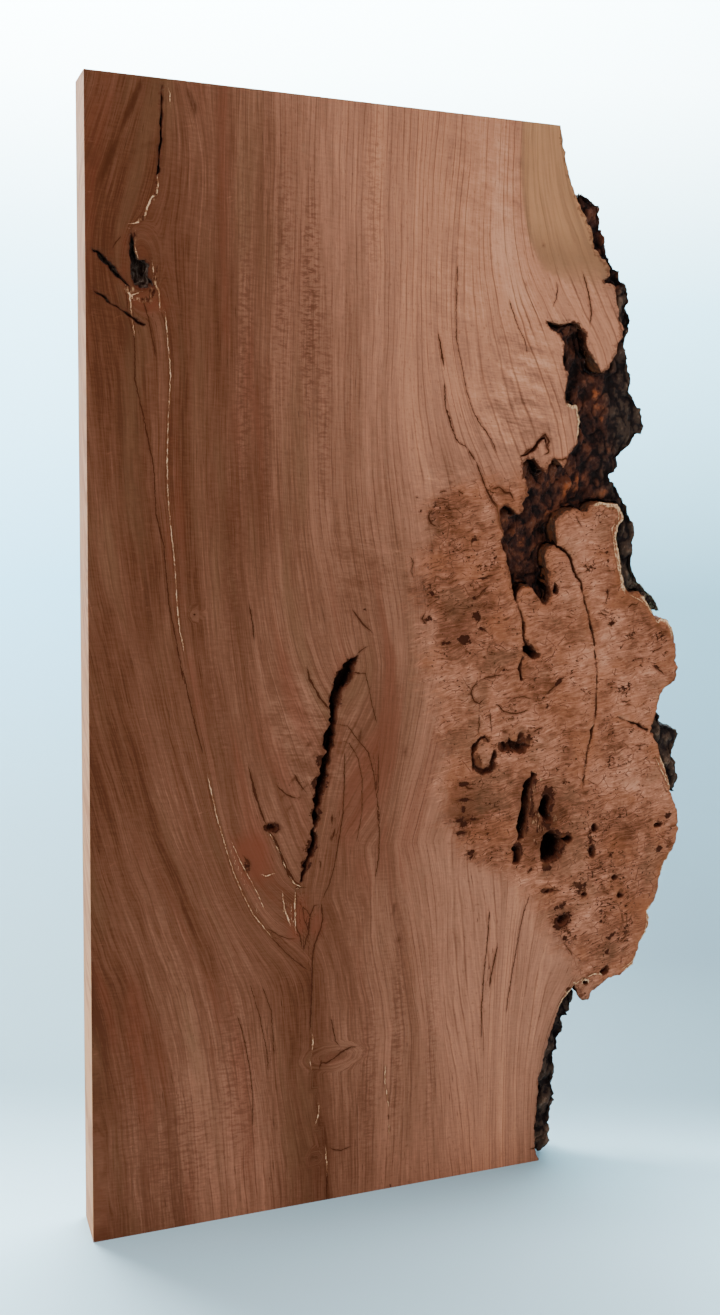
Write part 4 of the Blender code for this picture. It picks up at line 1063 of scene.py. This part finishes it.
def straightGrain(wood, at):
    # Growth rings, each with its own tone and a thin dark line at its end.
    look = woodLook
    ring, tone, px, py, pz = at["ring"], at["tone"], at["px"], at["py"], at["pz"]
    rings = wood.node("ShaderNodeTexVoronoi", {"voronoi_dimensions": "1D", "feature": "F1"},
                      {"W": ring * 0.21, "Scale": 1.0, "Randomness": 0.8}, "Color")
    ringTone = wood.parts(rings)[0]
    ringEdge = wood.node("ShaderNodeTexVoronoi", {"voronoi_dimensions": "1D", "feature": "DISTANCE_TO_EDGE"},
                         {"W": ring * 0.21, "Scale": 1.0, "Randomness": 0.8}, "Distance")
    streak = alongGrain(wood, at, 0.055, 0.0025, 3.0, 3, 0.6)
    thread = alongGrain(wood, at, 0.45, 0.009, 7.0, 3, 0.65)
    fibre = alongGrain(wood, at, 1.15, 0.028, 1.0, 2, 0.6)
    curl = wood.attribute("curl")
    lean = pz * 0.095 + px * 0.030 + at["waver"] * 1.6
    band = wood.noise(wood.vector(px * 0.030, py * 0.02, lean), 3, 0.55)
    ripple = wood.noise(wood.vector(px * 0.10, py * 0.1, pz * 0.60 + px * 0.05), 2, 0.6)
    toneHere = (tone - 0.035 + (streak - 0.5) * 0.75 + (thread - 0.5) * 0.38 + (fibre - 0.5) * 0.60
                + (ringTone - 0.5) * 0.10 + (at["cloud"] - 0.5) * 0.35
                + (band - 0.5) * curl * 1.7 + (ripple - 0.5) * (curl * 0.8 + 0.26))
    colour = wood.ramp(toneHere, [(0.0, look["deepHeart"]), (0.12, look["darkHeart"]), (0.33, look["heart"]),
                                  (0.52, look["warmHeart"]), (0.75, look["rose"]), (1.0, look["tan"])])
    colour = wood.mix(wood.step(toneHere, 0.95, 1.35) * 0.85, colour, look["paleTan"])
    hue = alongGrain(wood, at, 0.045, 0.004, 11.0, 3)
    colour = wood.mix(wood.step(hue, 0.52, 0.68) * 0.42 * wood.step(tone, 0.75, 0.35), colour, look["olive"])
    colour = wood.mix(wood.step(hue, 0.46, 0.32) * 0.45 * wood.step(tone, 0.85, 0.45), colour,
                      look["redStain"])
    lineHold = wood.step(alongGrain(wood, at, 0.2, 0.012, 2.0, 2), 0.34, 0.6)
    ringLine = wood.step(ringEdge, 0.13, 0.02) * lineHold
    colour = wood.mix(ringLine * (0.26 + tone * 0.34), colour, look["stain"])

    # Short dark dashes along the grain, and the dashes across it in the mottled columns.
    dash = alongGrain(wood, at, 1.05, 0.055, 5.0, 1)
    dashHold = wood.step(alongGrain(wood, at, 0.06, 0.01, 9.0, 1), 0.4, 0.62)
    colour = wood.mix(wood.step(dash, 0.68, 0.76) * dashHold * 0.7, colour, look["line"])
    pore = alongGrain(wood, at, 0.7, 0.22, 4.0, 2, 0.6)
    colour = wood.mix(wood.step(pore, 0.56, 0.74) * 0.34, colour, look["stain"])
    ladder = alongGrain(wood, at, 0.15, 0.36, 8.0, 3, 0.65)
    colour = wood.mix(wood.step(ladder, 0.43, 0.62) * wood.attribute("mottle") * 0.95, colour, look["mottle"])

    # Sapwood.
    sap = wood.attribute("sap")
    sapTone = wood.mix(wood.step(thread, 0.40, 0.62) * 0.6, look["sapwood"], look["sapDark"])
    sapTone = wood.mix(wood.step(pz, 846.0, 806.0) * 0.75, sapTone, look["sapDark"])
    colour = wood.mix(sap * wood.step(pz, 776.0, 812.0) * 0.80, colour, sapTone)
    sapLine = wood.step(abs(sap - 0.5), 0.5, 0.1) * wood.step(pz, 800.0, 830.0)
    return wood.mix(sapLine * 0.45, colour, look["sapDark"]), fibre, thread


def burlFigure(wood, at):
    # Threads that run across the trunk and bend round cells, with brown wisps, arcs and eyes.
    look = woodLook
    px, py, pz, speck = at["px"], at["py"], at["pz"], at["speck"]
    bendX = wood.cloud((38, 38, 38), (4, 1, 2), 2) - 0.5
    bendZ = wood.cloud((46, 46, 46), (9, 7, 5), 2) - 0.5
    lean = pz * 0.975 - px * 0.20 + bendZ * 11.0
    across = px * 0.975 + pz * 0.20 + bendX * 16.0
    threads = wood.noise(wood.vector(across * 0.040, py * 0.10, lean * 0.40), 3, 0.65)
    fine = wood.noise(wood.vector(across * 0.09, py * 0.3, lean * 0.95), 2, 0.65)
    blotch = wood.cloud((130, 130, 150), (6, 6, 6), 4, 0.66)
    patch = wood.cloud((26, 26, 30), (2, 2, 2), 2)
    tint = wood.cloud((24, 24, 34), (12, 5, 8), 2)
    shade = (0.56 + (patch - 0.5) * 1.1 + (threads - 0.5) * 1.1 + (fine - 0.5) * 0.85 + (blotch - 0.5) * 1.2
             + wood.attribute("light") * 0.26 - wood.attribute("stain") * 0.25)
    colour = wood.ramp(shade, [(0.0, look["burlDark"]), (0.24, look["burlBrown"]), (0.52, look["burlBase"]),
                               (0.74, look["burlLight"]), (1.0, look["burlPale"])])
    colour = wood.mix(wood.step(tint, 0.52, 0.72) * 0.42, colour, look["burlOrange"])
    colour = wood.mix(wood.step(tint, 0.46, 0.32) * 0.35, colour, look["burlGrey"])
    cluster = wood.cloud((60, 60, 60), (8, 3, 6), 2)
    wisp = wood.noise(wood.vector(across * 0.12, py * 0.2, lean * 0.62 + 40.0), 2, 0.6)
    wisps = wood.step(wisp + (cluster - 0.5) * 0.45 + speck * 0.10, 0.60, 0.69)
    colour = wood.mix(wisps * 0.8, colour, look["burlDark"])
    cells = wood.node("ShaderNodeTexVoronoi", {"voronoi_dimensions": "3D", "feature": "DISTANCE_TO_EDGE"},
                      {"Vector": wood.vector(across * 0.075, py * 0.02, lean * 0.095), "Scale": 1.0},
                      "Distance")
    arcs = wood.step(cells, 0.045, 0.012) * wood.step(blotch + speck * 0.12, 0.52, 0.58)
    colour = wood.mix(arcs * 0.75, colour, look["burlDark"])
    spots = wood.step(at["spot"] + speck * 0.19 + (cluster - 0.5) * 0.34, 0.665, 0.715)
    return wood.mix(spots * 0.9, colour, look["burlEye"]), spots, threads


def drawnLines(wood, at, colour):
    # Cracks and gum lines are dark with a stain beside them. Pith fibres and torn rims are pale, and some
    # pale lines are painted glints on torn fibres.
    look = woodLook
    shake = (wood.cloud((380, 380, 380), detail=2) - 0.5) * 1.7
    swell = wood.cloud((140, 140, 140), (7, 7, 7), 2) * 1.7 - 0.12
    for name, halo in (("dark", 0.35), ("squiggle", 0.5)):
        gap = abs(wood.attribute(name + "Gap") + shake)
        width = wood.attribute(name + "Width")
        core = width * swell
        near = wood.step(gap - width * 1.6, 1.6, -0.4) * wood.step(width, 0.05, 0.4)
        colour = wood.mix(near * halo, colour, look["stain"])
        colour = wood.mix(wood.step(gap - core, 0.22, -0.16) * wood.step(core, 0.02, 0.22), colour,
                          look["line"])
    edge = (at["spot"] - 0.5) * 2.0 + (at["smudge"] - 0.5) * 1.2
    mark = wood.attribute("mark")
    colour = wood.mix(wood.step(mark + edge, 0.26, 0.56) * wood.step(mark, 0.02, 0.2) * 0.7, colour,
                      look["rim"])
    marked = wood.step(mark + edge, 0.52, 0.64) * wood.step(mark, 0.05, 0.25)
    colour = wood.mix(marked * 0.95, colour, look["burlEye"])
    gap = abs(wood.attribute("paleGap") + shake)
    width = wood.attribute("paleWidth")
    near = wood.step(gap - width * 2.0, 1.8, -0.4) * wood.step(width, 0.05, 0.3)
    colour = wood.mix(near * 0.6, colour, look["rim"])
    torn = wood.cloud((520, 520, 260), (2, 6, 3), 2, 0.6)
    torn = wood.mix(wood.step(torn, 0.40, 0.58), look["fibreDark"], look["fibre"])
    core = wood.step(gap - width * swell, 0.20, -0.12) * wood.step(width, 0.02, 0.12)
    colour = wood.mix(core, colour, torn)

    # Torn, fibrous wood, pale and nearly black side by side.
    fray = wood.attribute("fray")
    strands = wood.cloud((460, 460, 130), (1, 4, 9), 3, 0.7)
    frayed = wood.ramp(strands, [(0.42, look["burlEye"]), (0.50, look["rim"]), (0.57, look["frayDark"]),
                                 (0.68, look["fray"])])
    return wood.mix(wood.step(fray + (at["spot"] - 0.5) * 0.9, 0.35, 0.65), colour, frayed), marked


def cherryFinish():
    look = woodLook
    wood = Finish("cherry wood")
    px, py, pz = [part * 1000.0 for part in wood.parts(wood.place)]
    cloud = wood.cloud((16, 16, 7), detail=2)
    waver = wood.cloud((60, 30, 16), (3, 1, 4), 3)
    fineWaver = wood.cloud((260, 200, 60), (1, 8, 2), 1)
    spot = wood.cloud((330, 330, 420), (3, 9, 1), 2, 0.6)
    smudge = wood.cloud((120, 120, 70), (5, 2, 9), 4, 0.65)
    grit = wood.cloud((900, 900, 420), detail=2, roughness=0.6)
    depth = wood.attribute("depth")
    burl = wood.attribute("burl")
    at = {"px": px, "py": py, "pz": pz, "cloud": cloud, "waver": waver, "spot": spot,
          "smudge": smudge, "tone": wood.attribute("tone"), "speck": wood.attribute("speck"),
          "ring": wood.attribute("ring") + cloud * 7.0 + waver * 1.8 + fineWaver * 0.7}
    straight, fibre, thread = straightGrain(wood, at)
    figure, spots, threads = burlFigure(wood, at)
    blend = wood.step(burl + (smudge - 0.5) * 0.9 + (threads - 0.5) * 1.1, 0.14, 0.88)
    colour = wood.mix(blend, straight, figure)
    fewSpots = wood.step(spot + at["speck"] * 0.22, 0.74, 0.79) * wood.step(at["speck"], 0.05, 0.2)
    colour = wood.mix(fewSpots * 0.7, colour, look["burlEye"])

    # Patches of orange, red and dark stain.
    rough = (smudge - 0.5) * 0.8
    colour = wood.mix(wood.step(wood.attribute("orange") + rough, 0.1, 1.1) * 0.52, colour,
                      look["burlOrange"])
    colour = wood.mix(wood.step(wood.attribute("red") + rough, 0.1, 0.95) * 0.85, colour, look["redStain"])
    stain = wood.attribute("stain")
    colour = wood.mix(wood.step(stain + rough, 0.14, 1.1) * 0.9, colour, look["stain"])
    colour = wood.mix(wood.step(stain + rough * 0.6, 0.46, 0.9) * 0.6 * (1.0 - burl), colour, look["line"])
    colour, marked = drawnLines(wood, at, colour)

    # Warmer wood at the live edge, and a broken dark rim round the pits.
    edgeGap = wood.attribute("edgeGap")
    pitGap = wood.attribute("pitGap")
    colour = wood.mix(wood.step(edgeGap + (smudge - 0.5) * 9.0, 8.0, 0.0) * 0.38 * burl, colour,
                      look["burlOrange"])
    colour = wood.mix(wood.step(edgeGap + (spot - 0.5) * 5.0, 1.2, 0.0) * 0.6, colour, look["stain"])
    colour = wood.mix(wood.step(pitGap + (spot - 0.5) * 6.0, 1.1, -0.2) * 0.75, colour, look["rim"])
    nearest = wood.node("ShaderNodeMath", {"operation": "MINIMUM"}, {0: edgeGap, 1: pitGap})
    tornRim = wood.step(nearest + (spot - 0.5) * 3.0, 1.5, 0.6) * wood.step(wood.attribute("torn"), 0.1, 0.4)
    ragged = wood.mix(wood.step(grit + (spot - 0.5) * 0.4, 0.36, 0.54), look["fibreDark"], look["fibre"])
    colour = wood.mix(tornRim * 0.95, colour, ragged)

    # The sawn edge and ends, the bark side of the edge, and the insides of cracks and pits.
    nx, _, nz = wood.parts(wood.node("ShaderNodeNewGeometry", output="True Normal"))
    left = slab["left"] / mm
    onEdge = wood.step(nx, -0.8, -0.95) * wood.step(px, left + 0.6, left + 0.3)
    edgeTone = wood.mix(wood.step(thread + (fibre - 0.5) * 0.8, 0.4, 0.66), look["sawnEdge"],
                        look["sawnEdgeDark"])
    colour = wood.mix(onEdge, colour, edgeTone)
    colour = wood.mix(wood.step(abs(nz), 0.8, 0.95) * 0.45, colour, look["stain"])
    outer = wood.step(edgeGap, 2.0, 0.5) * wood.step(depth, 0.15, 1.2) * wood.step(depth, 39.85, 38.8)
    wallTone = wood.mix(wood.step(smudge + (spot - 0.5) * 0.6, 0.36, 0.66), look["liveWall"],
                        look["burlBrown"])
    colour = wood.mix(outer * (1.0 - onEdge), colour, wallTone)
    hollow = wood.attribute("hollow")
    # Insides of cracks and pits: red-brown gum that goes near black with depth, partly dark gum and partly
    # painted shade.
    inside = wood.mix(wood.step(depth + (spot - 0.5) * 16.0, 1.0, 6.0), look["rim"], look["hollowRed"])
    inside = wood.mix(wood.step(depth + (smudge - 0.5) * 20.0, 4.0, 12.0), inside, look["hollowDarkAndShade"])
    # Painted highlights: pale specks near the mouth of cracks and pits stand in for glints on the gum.
    inside = wood.mix(wood.step(grit + (spot - 0.5) * 0.6, 0.62, 0.74) * wood.step(depth, 14.0, 6.0) * 0.7,
                      inside, look["paintedGlint"])
    plug = wood.step(px, left + 70.0, left + 66.0) * wood.step(pz, 745.0, 748.0)
    crust = wood.cloud((300, 300, 75), (2, 2, 7), 4, 0.7)
    plugTone = wood.ramp(crust, [(0.38, look["hollowDarkAndShade"]), (0.50, (0.030, 0.017, 0.012)),
                                 (0.60, (0.085, 0.055, 0.040)), (0.70, (0.22, 0.16, 0.12))])
    inside = wood.mix(plug * wood.step(hollow, 0.6, 1.0), inside, plugTone)
    colour = wood.mix(wood.step(hollow, 0.02, 0.3) * 0.96, colour, inside)

    gloss = 0.50 + fibre * 0.14 + hollow * 0.3
    height = fibre * 0.35 + grit * 0.15 + threads * burl * 0.5 + spot * outer * 2.0 + spot * hollow * 2.0
    bump = wood.bump(height - marked * 1.2 - spots * burl * 0.6, 0.0006, 0.45)
    return wood.finish(colour, gloss, bump, Specular_IOR_Level=0.02)


# Bark.

barkLook = {
    "voxel": 1.12,
    "crust": (0.040, 0.020, 0.012),
    # Colours that follow the relief: lighter bark with painted highlight on raised plates, dark inner bark
    # with painted shade in the cracks and folds.
    "ridgeAndHighlight": (0.110, 0.056, 0.032),
    "fissureAndShade": (0.009, 0.004, 0.003),
    "lichen": (0.150, 0.135, 0.085),
    "red": (0.105, 0.027, 0.011),
    "redDarkAndShade": (0.038, 0.010, 0.005),
    # Resin amber, partly painted glints on raised lumps.
    "amberAndGlint": (0.300, 0.068, 0.018),
    "grey": (0.120, 0.100, 0.070),
}


def growBark(node, name):
    piece = copyNode(node, name)
    applyModifier(piece, "REMESH", mode="VOXEL", voxel_size=barkLook["voxel"] * mm)
    points = pointsOf(piece.data)
    normals = vertexNormals(piece.data)
    x, z, depth = slabCoords(points)
    lumps = bumps(x, depth, z * 0.8, 13, 5)
    plates = bumps(x, depth, z * 0.7, 5.5, 9)
    crumbs = bumps(x, depth, z, 2.3, 4)
    cleft = ease(0.16, 0, np.abs(bumps(x, depth, z * 0.55, 9, 2)))
    facing = ease(0.2, 0.9, -normals[:, 1])
    height = lumps * (2.2 + facing * 3.8) + plates * 2.0 + crumbs * 0.9 - cleft * (1.2 + facing * 0.6)
    points += normals * (height - 1.0 - facing * 2.4)[:, None] * mm
    points[:, 1] = np.clip(points[:, 1], slab["front"] + 0.3 * mm, slab["back"] - 0.1 * mm)
    putPoints(piece.data, points)
    giveAttribute(piece.data, "height",
                  ease(-2.0, 2.4, lumps * 1.8 + plates * 1.8 + crumbs * 0.9 - cleft * 1.4))
    print(name, len(piece.data.polygons), "faces")
    return piece


def barkFinish():
    look = barkLook
    bark = Finish("rough bark")
    px, _, pz = bark.parts(bark.place)
    height = bark.attribute("height")
    broad = bark.cloud((70, 70, 55), detail=5, roughness=0.62)
    fine = bark.cloud((420, 420, 300), detail=4, roughness=0.68)
    rise = height + (fine - 0.5) * 1.1
    # Low fissures go near black and raised ridges lighter: partly the bark's own colours, partly painted
    # shade and painted highlight.
    colour = bark.mix(bark.step(rise, 0.20, 0.60), look["fissureAndShade"], look["crust"])
    colour = bark.mix(bark.step(rise + (broad - 0.5) * 1.0, 0.66, 1.05) * 0.85, colour, look["ridgeAndHighlight"])
    # Inside the bay the low folds go dark: dark red bark and painted shade.
    warm = bark.mix(bark.step(rise, 0.02, 0.44), look["fissureAndShade"], look["redDarkAndShade"])
    warm = bark.mix(bark.step(rise + (broad - 0.5) * 1.8, 0.40, 0.95) * 0.9, warm, look["red"])
    # Amber resin on the raised lumps of the bay, partly painted glints.
    resin = bark.step(pz, 0.646, 0.628) * bark.step(pz, 0.592, 0.612) * bark.step(px, 0.132, 0.142)
    spread = bark.cloud((60, 60, 60), (3, 5, 1), 3)
    warm = bark.mix(bark.step(spread + resin * 0.10, 0.58, 0.72) * bark.step(rise, 0.35, 0.9) * 0.8, warm,
                    look["amberAndGlint"])
    inside = bark.step(px + (broad - 0.5) * 0.05, 0.186, 0.160) * bark.step(pz, 0.47, 0.53)
    colour = bark.mix(inside, colour, warm)
    colour = bark.mix(bark.step(fine + (height - 0.5) * 0.4, 0.68, 0.84) * 0.35, colour, look["grey"])
    mossy = bark.step(pz, 0.486, 0.500) * bark.step(pz, 0.560, 0.530) * bark.step(px, 0.195, 0.215)
    colour = bark.mix(mossy * bark.step(fine + (broad - 0.5) * 0.8, 0.44, 0.62) * 0.75, colour,
                      look["lichen"])
    gloss = 0.80 - inside * bark.step(fine, 0.45, 0.7) * 0.35
    normal = bark.bump(fine + broad * 0.4, 0.0018, 0.7)
    return bark.finish(colour, gloss, normal, Specular_IOR_Level=0.12)


# Camera, lights, floor and backdrop.

shot = {
    "place": (-152.9, -1003.2, 662.6),
    "yaw": 20.449,
    "pitch": -9.563,
    "roll": 1.503,
    "lens": 36.16,
}


def addCamera():
    yaw, pitch, roll = (math.radians(shot[key]) for key in ("yaw", "pitch", "roll"))
    forward = Vector((math.sin(yaw) * math.cos(pitch), math.cos(yaw) * math.cos(pitch), math.sin(pitch)))
    level = Vector((math.cos(yaw), -math.sin(yaw), 0))
    over = level.cross(forward)
    right = math.cos(roll) * level + math.sin(roll) * over
    up = -math.sin(roll) * level + math.cos(roll) * over
    data = bpy.data.cameras.new("camera")
    data.lens = shot["lens"]
    data.sensor_width = 36
    data.clip_start = 0.01
    camera = bpy.data.objects.new("camera", data)
    bpy.context.scene.collection.objects.link(camera)
    x, y, z = (v * mm for v in shot["place"])
    spin = Matrix((right, up, -forward)).transposed().to_4x4()
    camera.matrix_world = Matrix.Translation((x + slab["left"], y + slab["front"], z)) @ spin
    bpy.context.scene.camera = camera


def addLight(name, place, target, size, power, colour):
    data = bpy.data.lights.new(name, "AREA")
    data.shape = "RECTANGLE"
    data.size, data.size_y = size
    data.energy = power
    data.color = colour
    light = bpy.data.objects.new(name, data)
    light.location = place
    light.rotation_euler = (Vector(target) - Vector(place)).to_track_quat("-Z", "Y").to_euler()
    bpy.context.scene.collection.objects.link(light)


def paperFinish():
    # Painted light and shade on pale blue paper: near white up the wall, darker on the floor behind the slab,
    # paler near the camera. Clear from behind, so that a camera at the back sees the slab.
    paper = Finish("pale blue paper")
    px, py, pz = paper.parts(paper.place)
    rise = pz / 1.3
    left = paper.ramp(rise, stage["leftToneAndLight"])
    right = paper.ramp(rise, stage["rightToneAndLight"])
    colour = paper.mix(paper.step(px, -0.45, 0.60), left, right)
    away = px * math.sin(math.radians(shot["yaw"])) + py * math.cos(math.radians(shot["yaw"]))
    colour = paper.mix(paper.step(away, -0.14, 0.18), stage["nearToneAndLight"], colour)
    material = paper.finish(colour, 0.9)
    behind = paper.node("ShaderNodeNewGeometry", output="Backfacing")
    clear = paper.node("ShaderNodeBsdfTransparent")
    sheet = Wire(paper.shader.outputs[0])
    mixed = paper.node("ShaderNodeMixShader", None, {0: behind, 1: sheet, 2: clear})
    join(paper.tree.nodes["Material Output"].inputs["Surface"], mixed)
    return material


def addSweep():
    # A floor that curves up into a backdrop, square to the camera's view.
    deselectAll()
    bpy.ops.mesh.primitive_plane_add(size=1, location=(0, 0, 0))
    sweep = bpy.context.object
    sweep.name = "sweep"
    sweep.scale = (stage["wide"], stage["floorReach"] + stage["before"], 1)
    sweep.location = (0, (stage["floorReach"] - stage["before"]) / 2, 0)
    bpy.ops.object.transform_apply(location=True, rotation=False, scale=True)
    points = pointsOf(sweep.data)
    selectVertices(sweep, points[:, 1] > 0)
    bpy.ops.object.mode_set(mode="EDIT")
    bpy.ops.mesh.select_mode(type="EDGE")
    centre = (0, stage["floorReach"], stage["radius"])
    bpy.ops.mesh.spin(steps=24, angle=math.pi / 2, center=centre, axis=(-1, 0, 0))
    bpy.ops.mesh.extrude_region_move(TRANSFORM_OT_translate={"value": (0, 0, 4)})
    bpy.ops.mesh.select_all(action="SELECT")
    bpy.ops.mesh.normals_make_consistent(inside=False)
    bpy.ops.object.mode_set(mode="OBJECT")
    centres, normals = faceFacts(sweep.data)
    if normals[centres[:, 2].argmin(), 2] < 0:
        editFaces(sweep, np.ones(len(normals), bool), bpy.ops.mesh.flip_normals)
    sweep.rotation_euler = (0, 0, -math.radians(shot["yaw"]))
    pick(sweep)
    bpy.ops.object.transform_apply(location=False, rotation=True, scale=False)
    bpy.ops.object.shade_smooth()
    sweep.data.materials.append(paperFinish())


stage = {
    "floorReach": 0.20,
    "radius": 1.0,
    "wide": 9,
    "before": 4,
    "world": ((0.84, 0.92, 1.0, 1), 0.75),
    # Name, place, target, size, power and colour.
    "lights": [
        ("key", (-1.9, -1.3, 1.7), (-0.1, 0, 0.5), (1.4, 1.6), 36, (1.0, 0.96, 0.92)),
        ("fill", (1.5, -1.9, 0.8), (0.1, 0, 0.4), (1.8, 1.4), 23, (1.0, 0.97, 0.95)),
        ("top", (0, 0.3, 2.6), (0, 0.3, 0), (2.4, 1.6), 18, (0.95, 0.98, 1.0)),
        ("wash", (-0.25, 0.72, 1.95), (0.0, 1.15, 1.42), (2.8, 0.3), 330, (0.95, 0.98, 1.0)),
    ],
    # Tones of the paper from the floor up, at the left and right of the picture: painted light near white at
    # the top, and painted shade, darkest on the right where the floor curves up.
    "leftToneAndLight": [(0.0, (0.17, 0.26, 0.30)), (0.08, (0.17, 0.30, 0.36)), (0.32, (0.17, 0.45, 0.62)),
                  (0.68, (0.36, 0.70, 0.85)), (0.96, (0.80, 0.97, 1.0))],
    "rightToneAndLight": [(0.0, (0.092, 0.145, 0.170)), (0.025, (0.070, 0.116, 0.140)),
                   (0.10, (0.074, 0.140, 0.175)), (0.32, (0.080, 0.190, 0.240)),
                   (0.68, (0.26, 0.56, 0.68)), (0.96, (0.75, 0.97, 1.0))],
    "nearToneAndLight": (0.48, 0.68, 0.77),
}


def addStage():
    addSweep()
    world = bpy.data.worlds.new("soft room")
    world.use_nodes = True
    colour, strength = world.node_tree.nodes["Background"].inputs[:2]
    colour.default_value, strength.default_value = stage["world"]
    bpy.context.scene.world = world
    for row in stage["lights"]:
        addLight(*row)


# Putting it together.

deselectAll()
addCamera()
addStage()
print("stage ready")

board = dressSlab(makeSlab())
board.data.materials.append(cherryFinish())
pick(board)
bpy.ops.object.shade_smooth_by_angle(angle=math.radians(35))
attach(board, "root")
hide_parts("wood")
print("slab ready")

bark = barkFinish()
for node, name in (("bark_upper", "barkUpper"), ("bark_middle", "barkMiddle"), ("bark_lower", "barkLower")):
    piece = growBark(node, name)
    piece.data.materials.append(bark)
    pick(piece)
    bpy.ops.object.shade_smooth()
    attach(piece, "root")
    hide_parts(node)
print("bark ready")
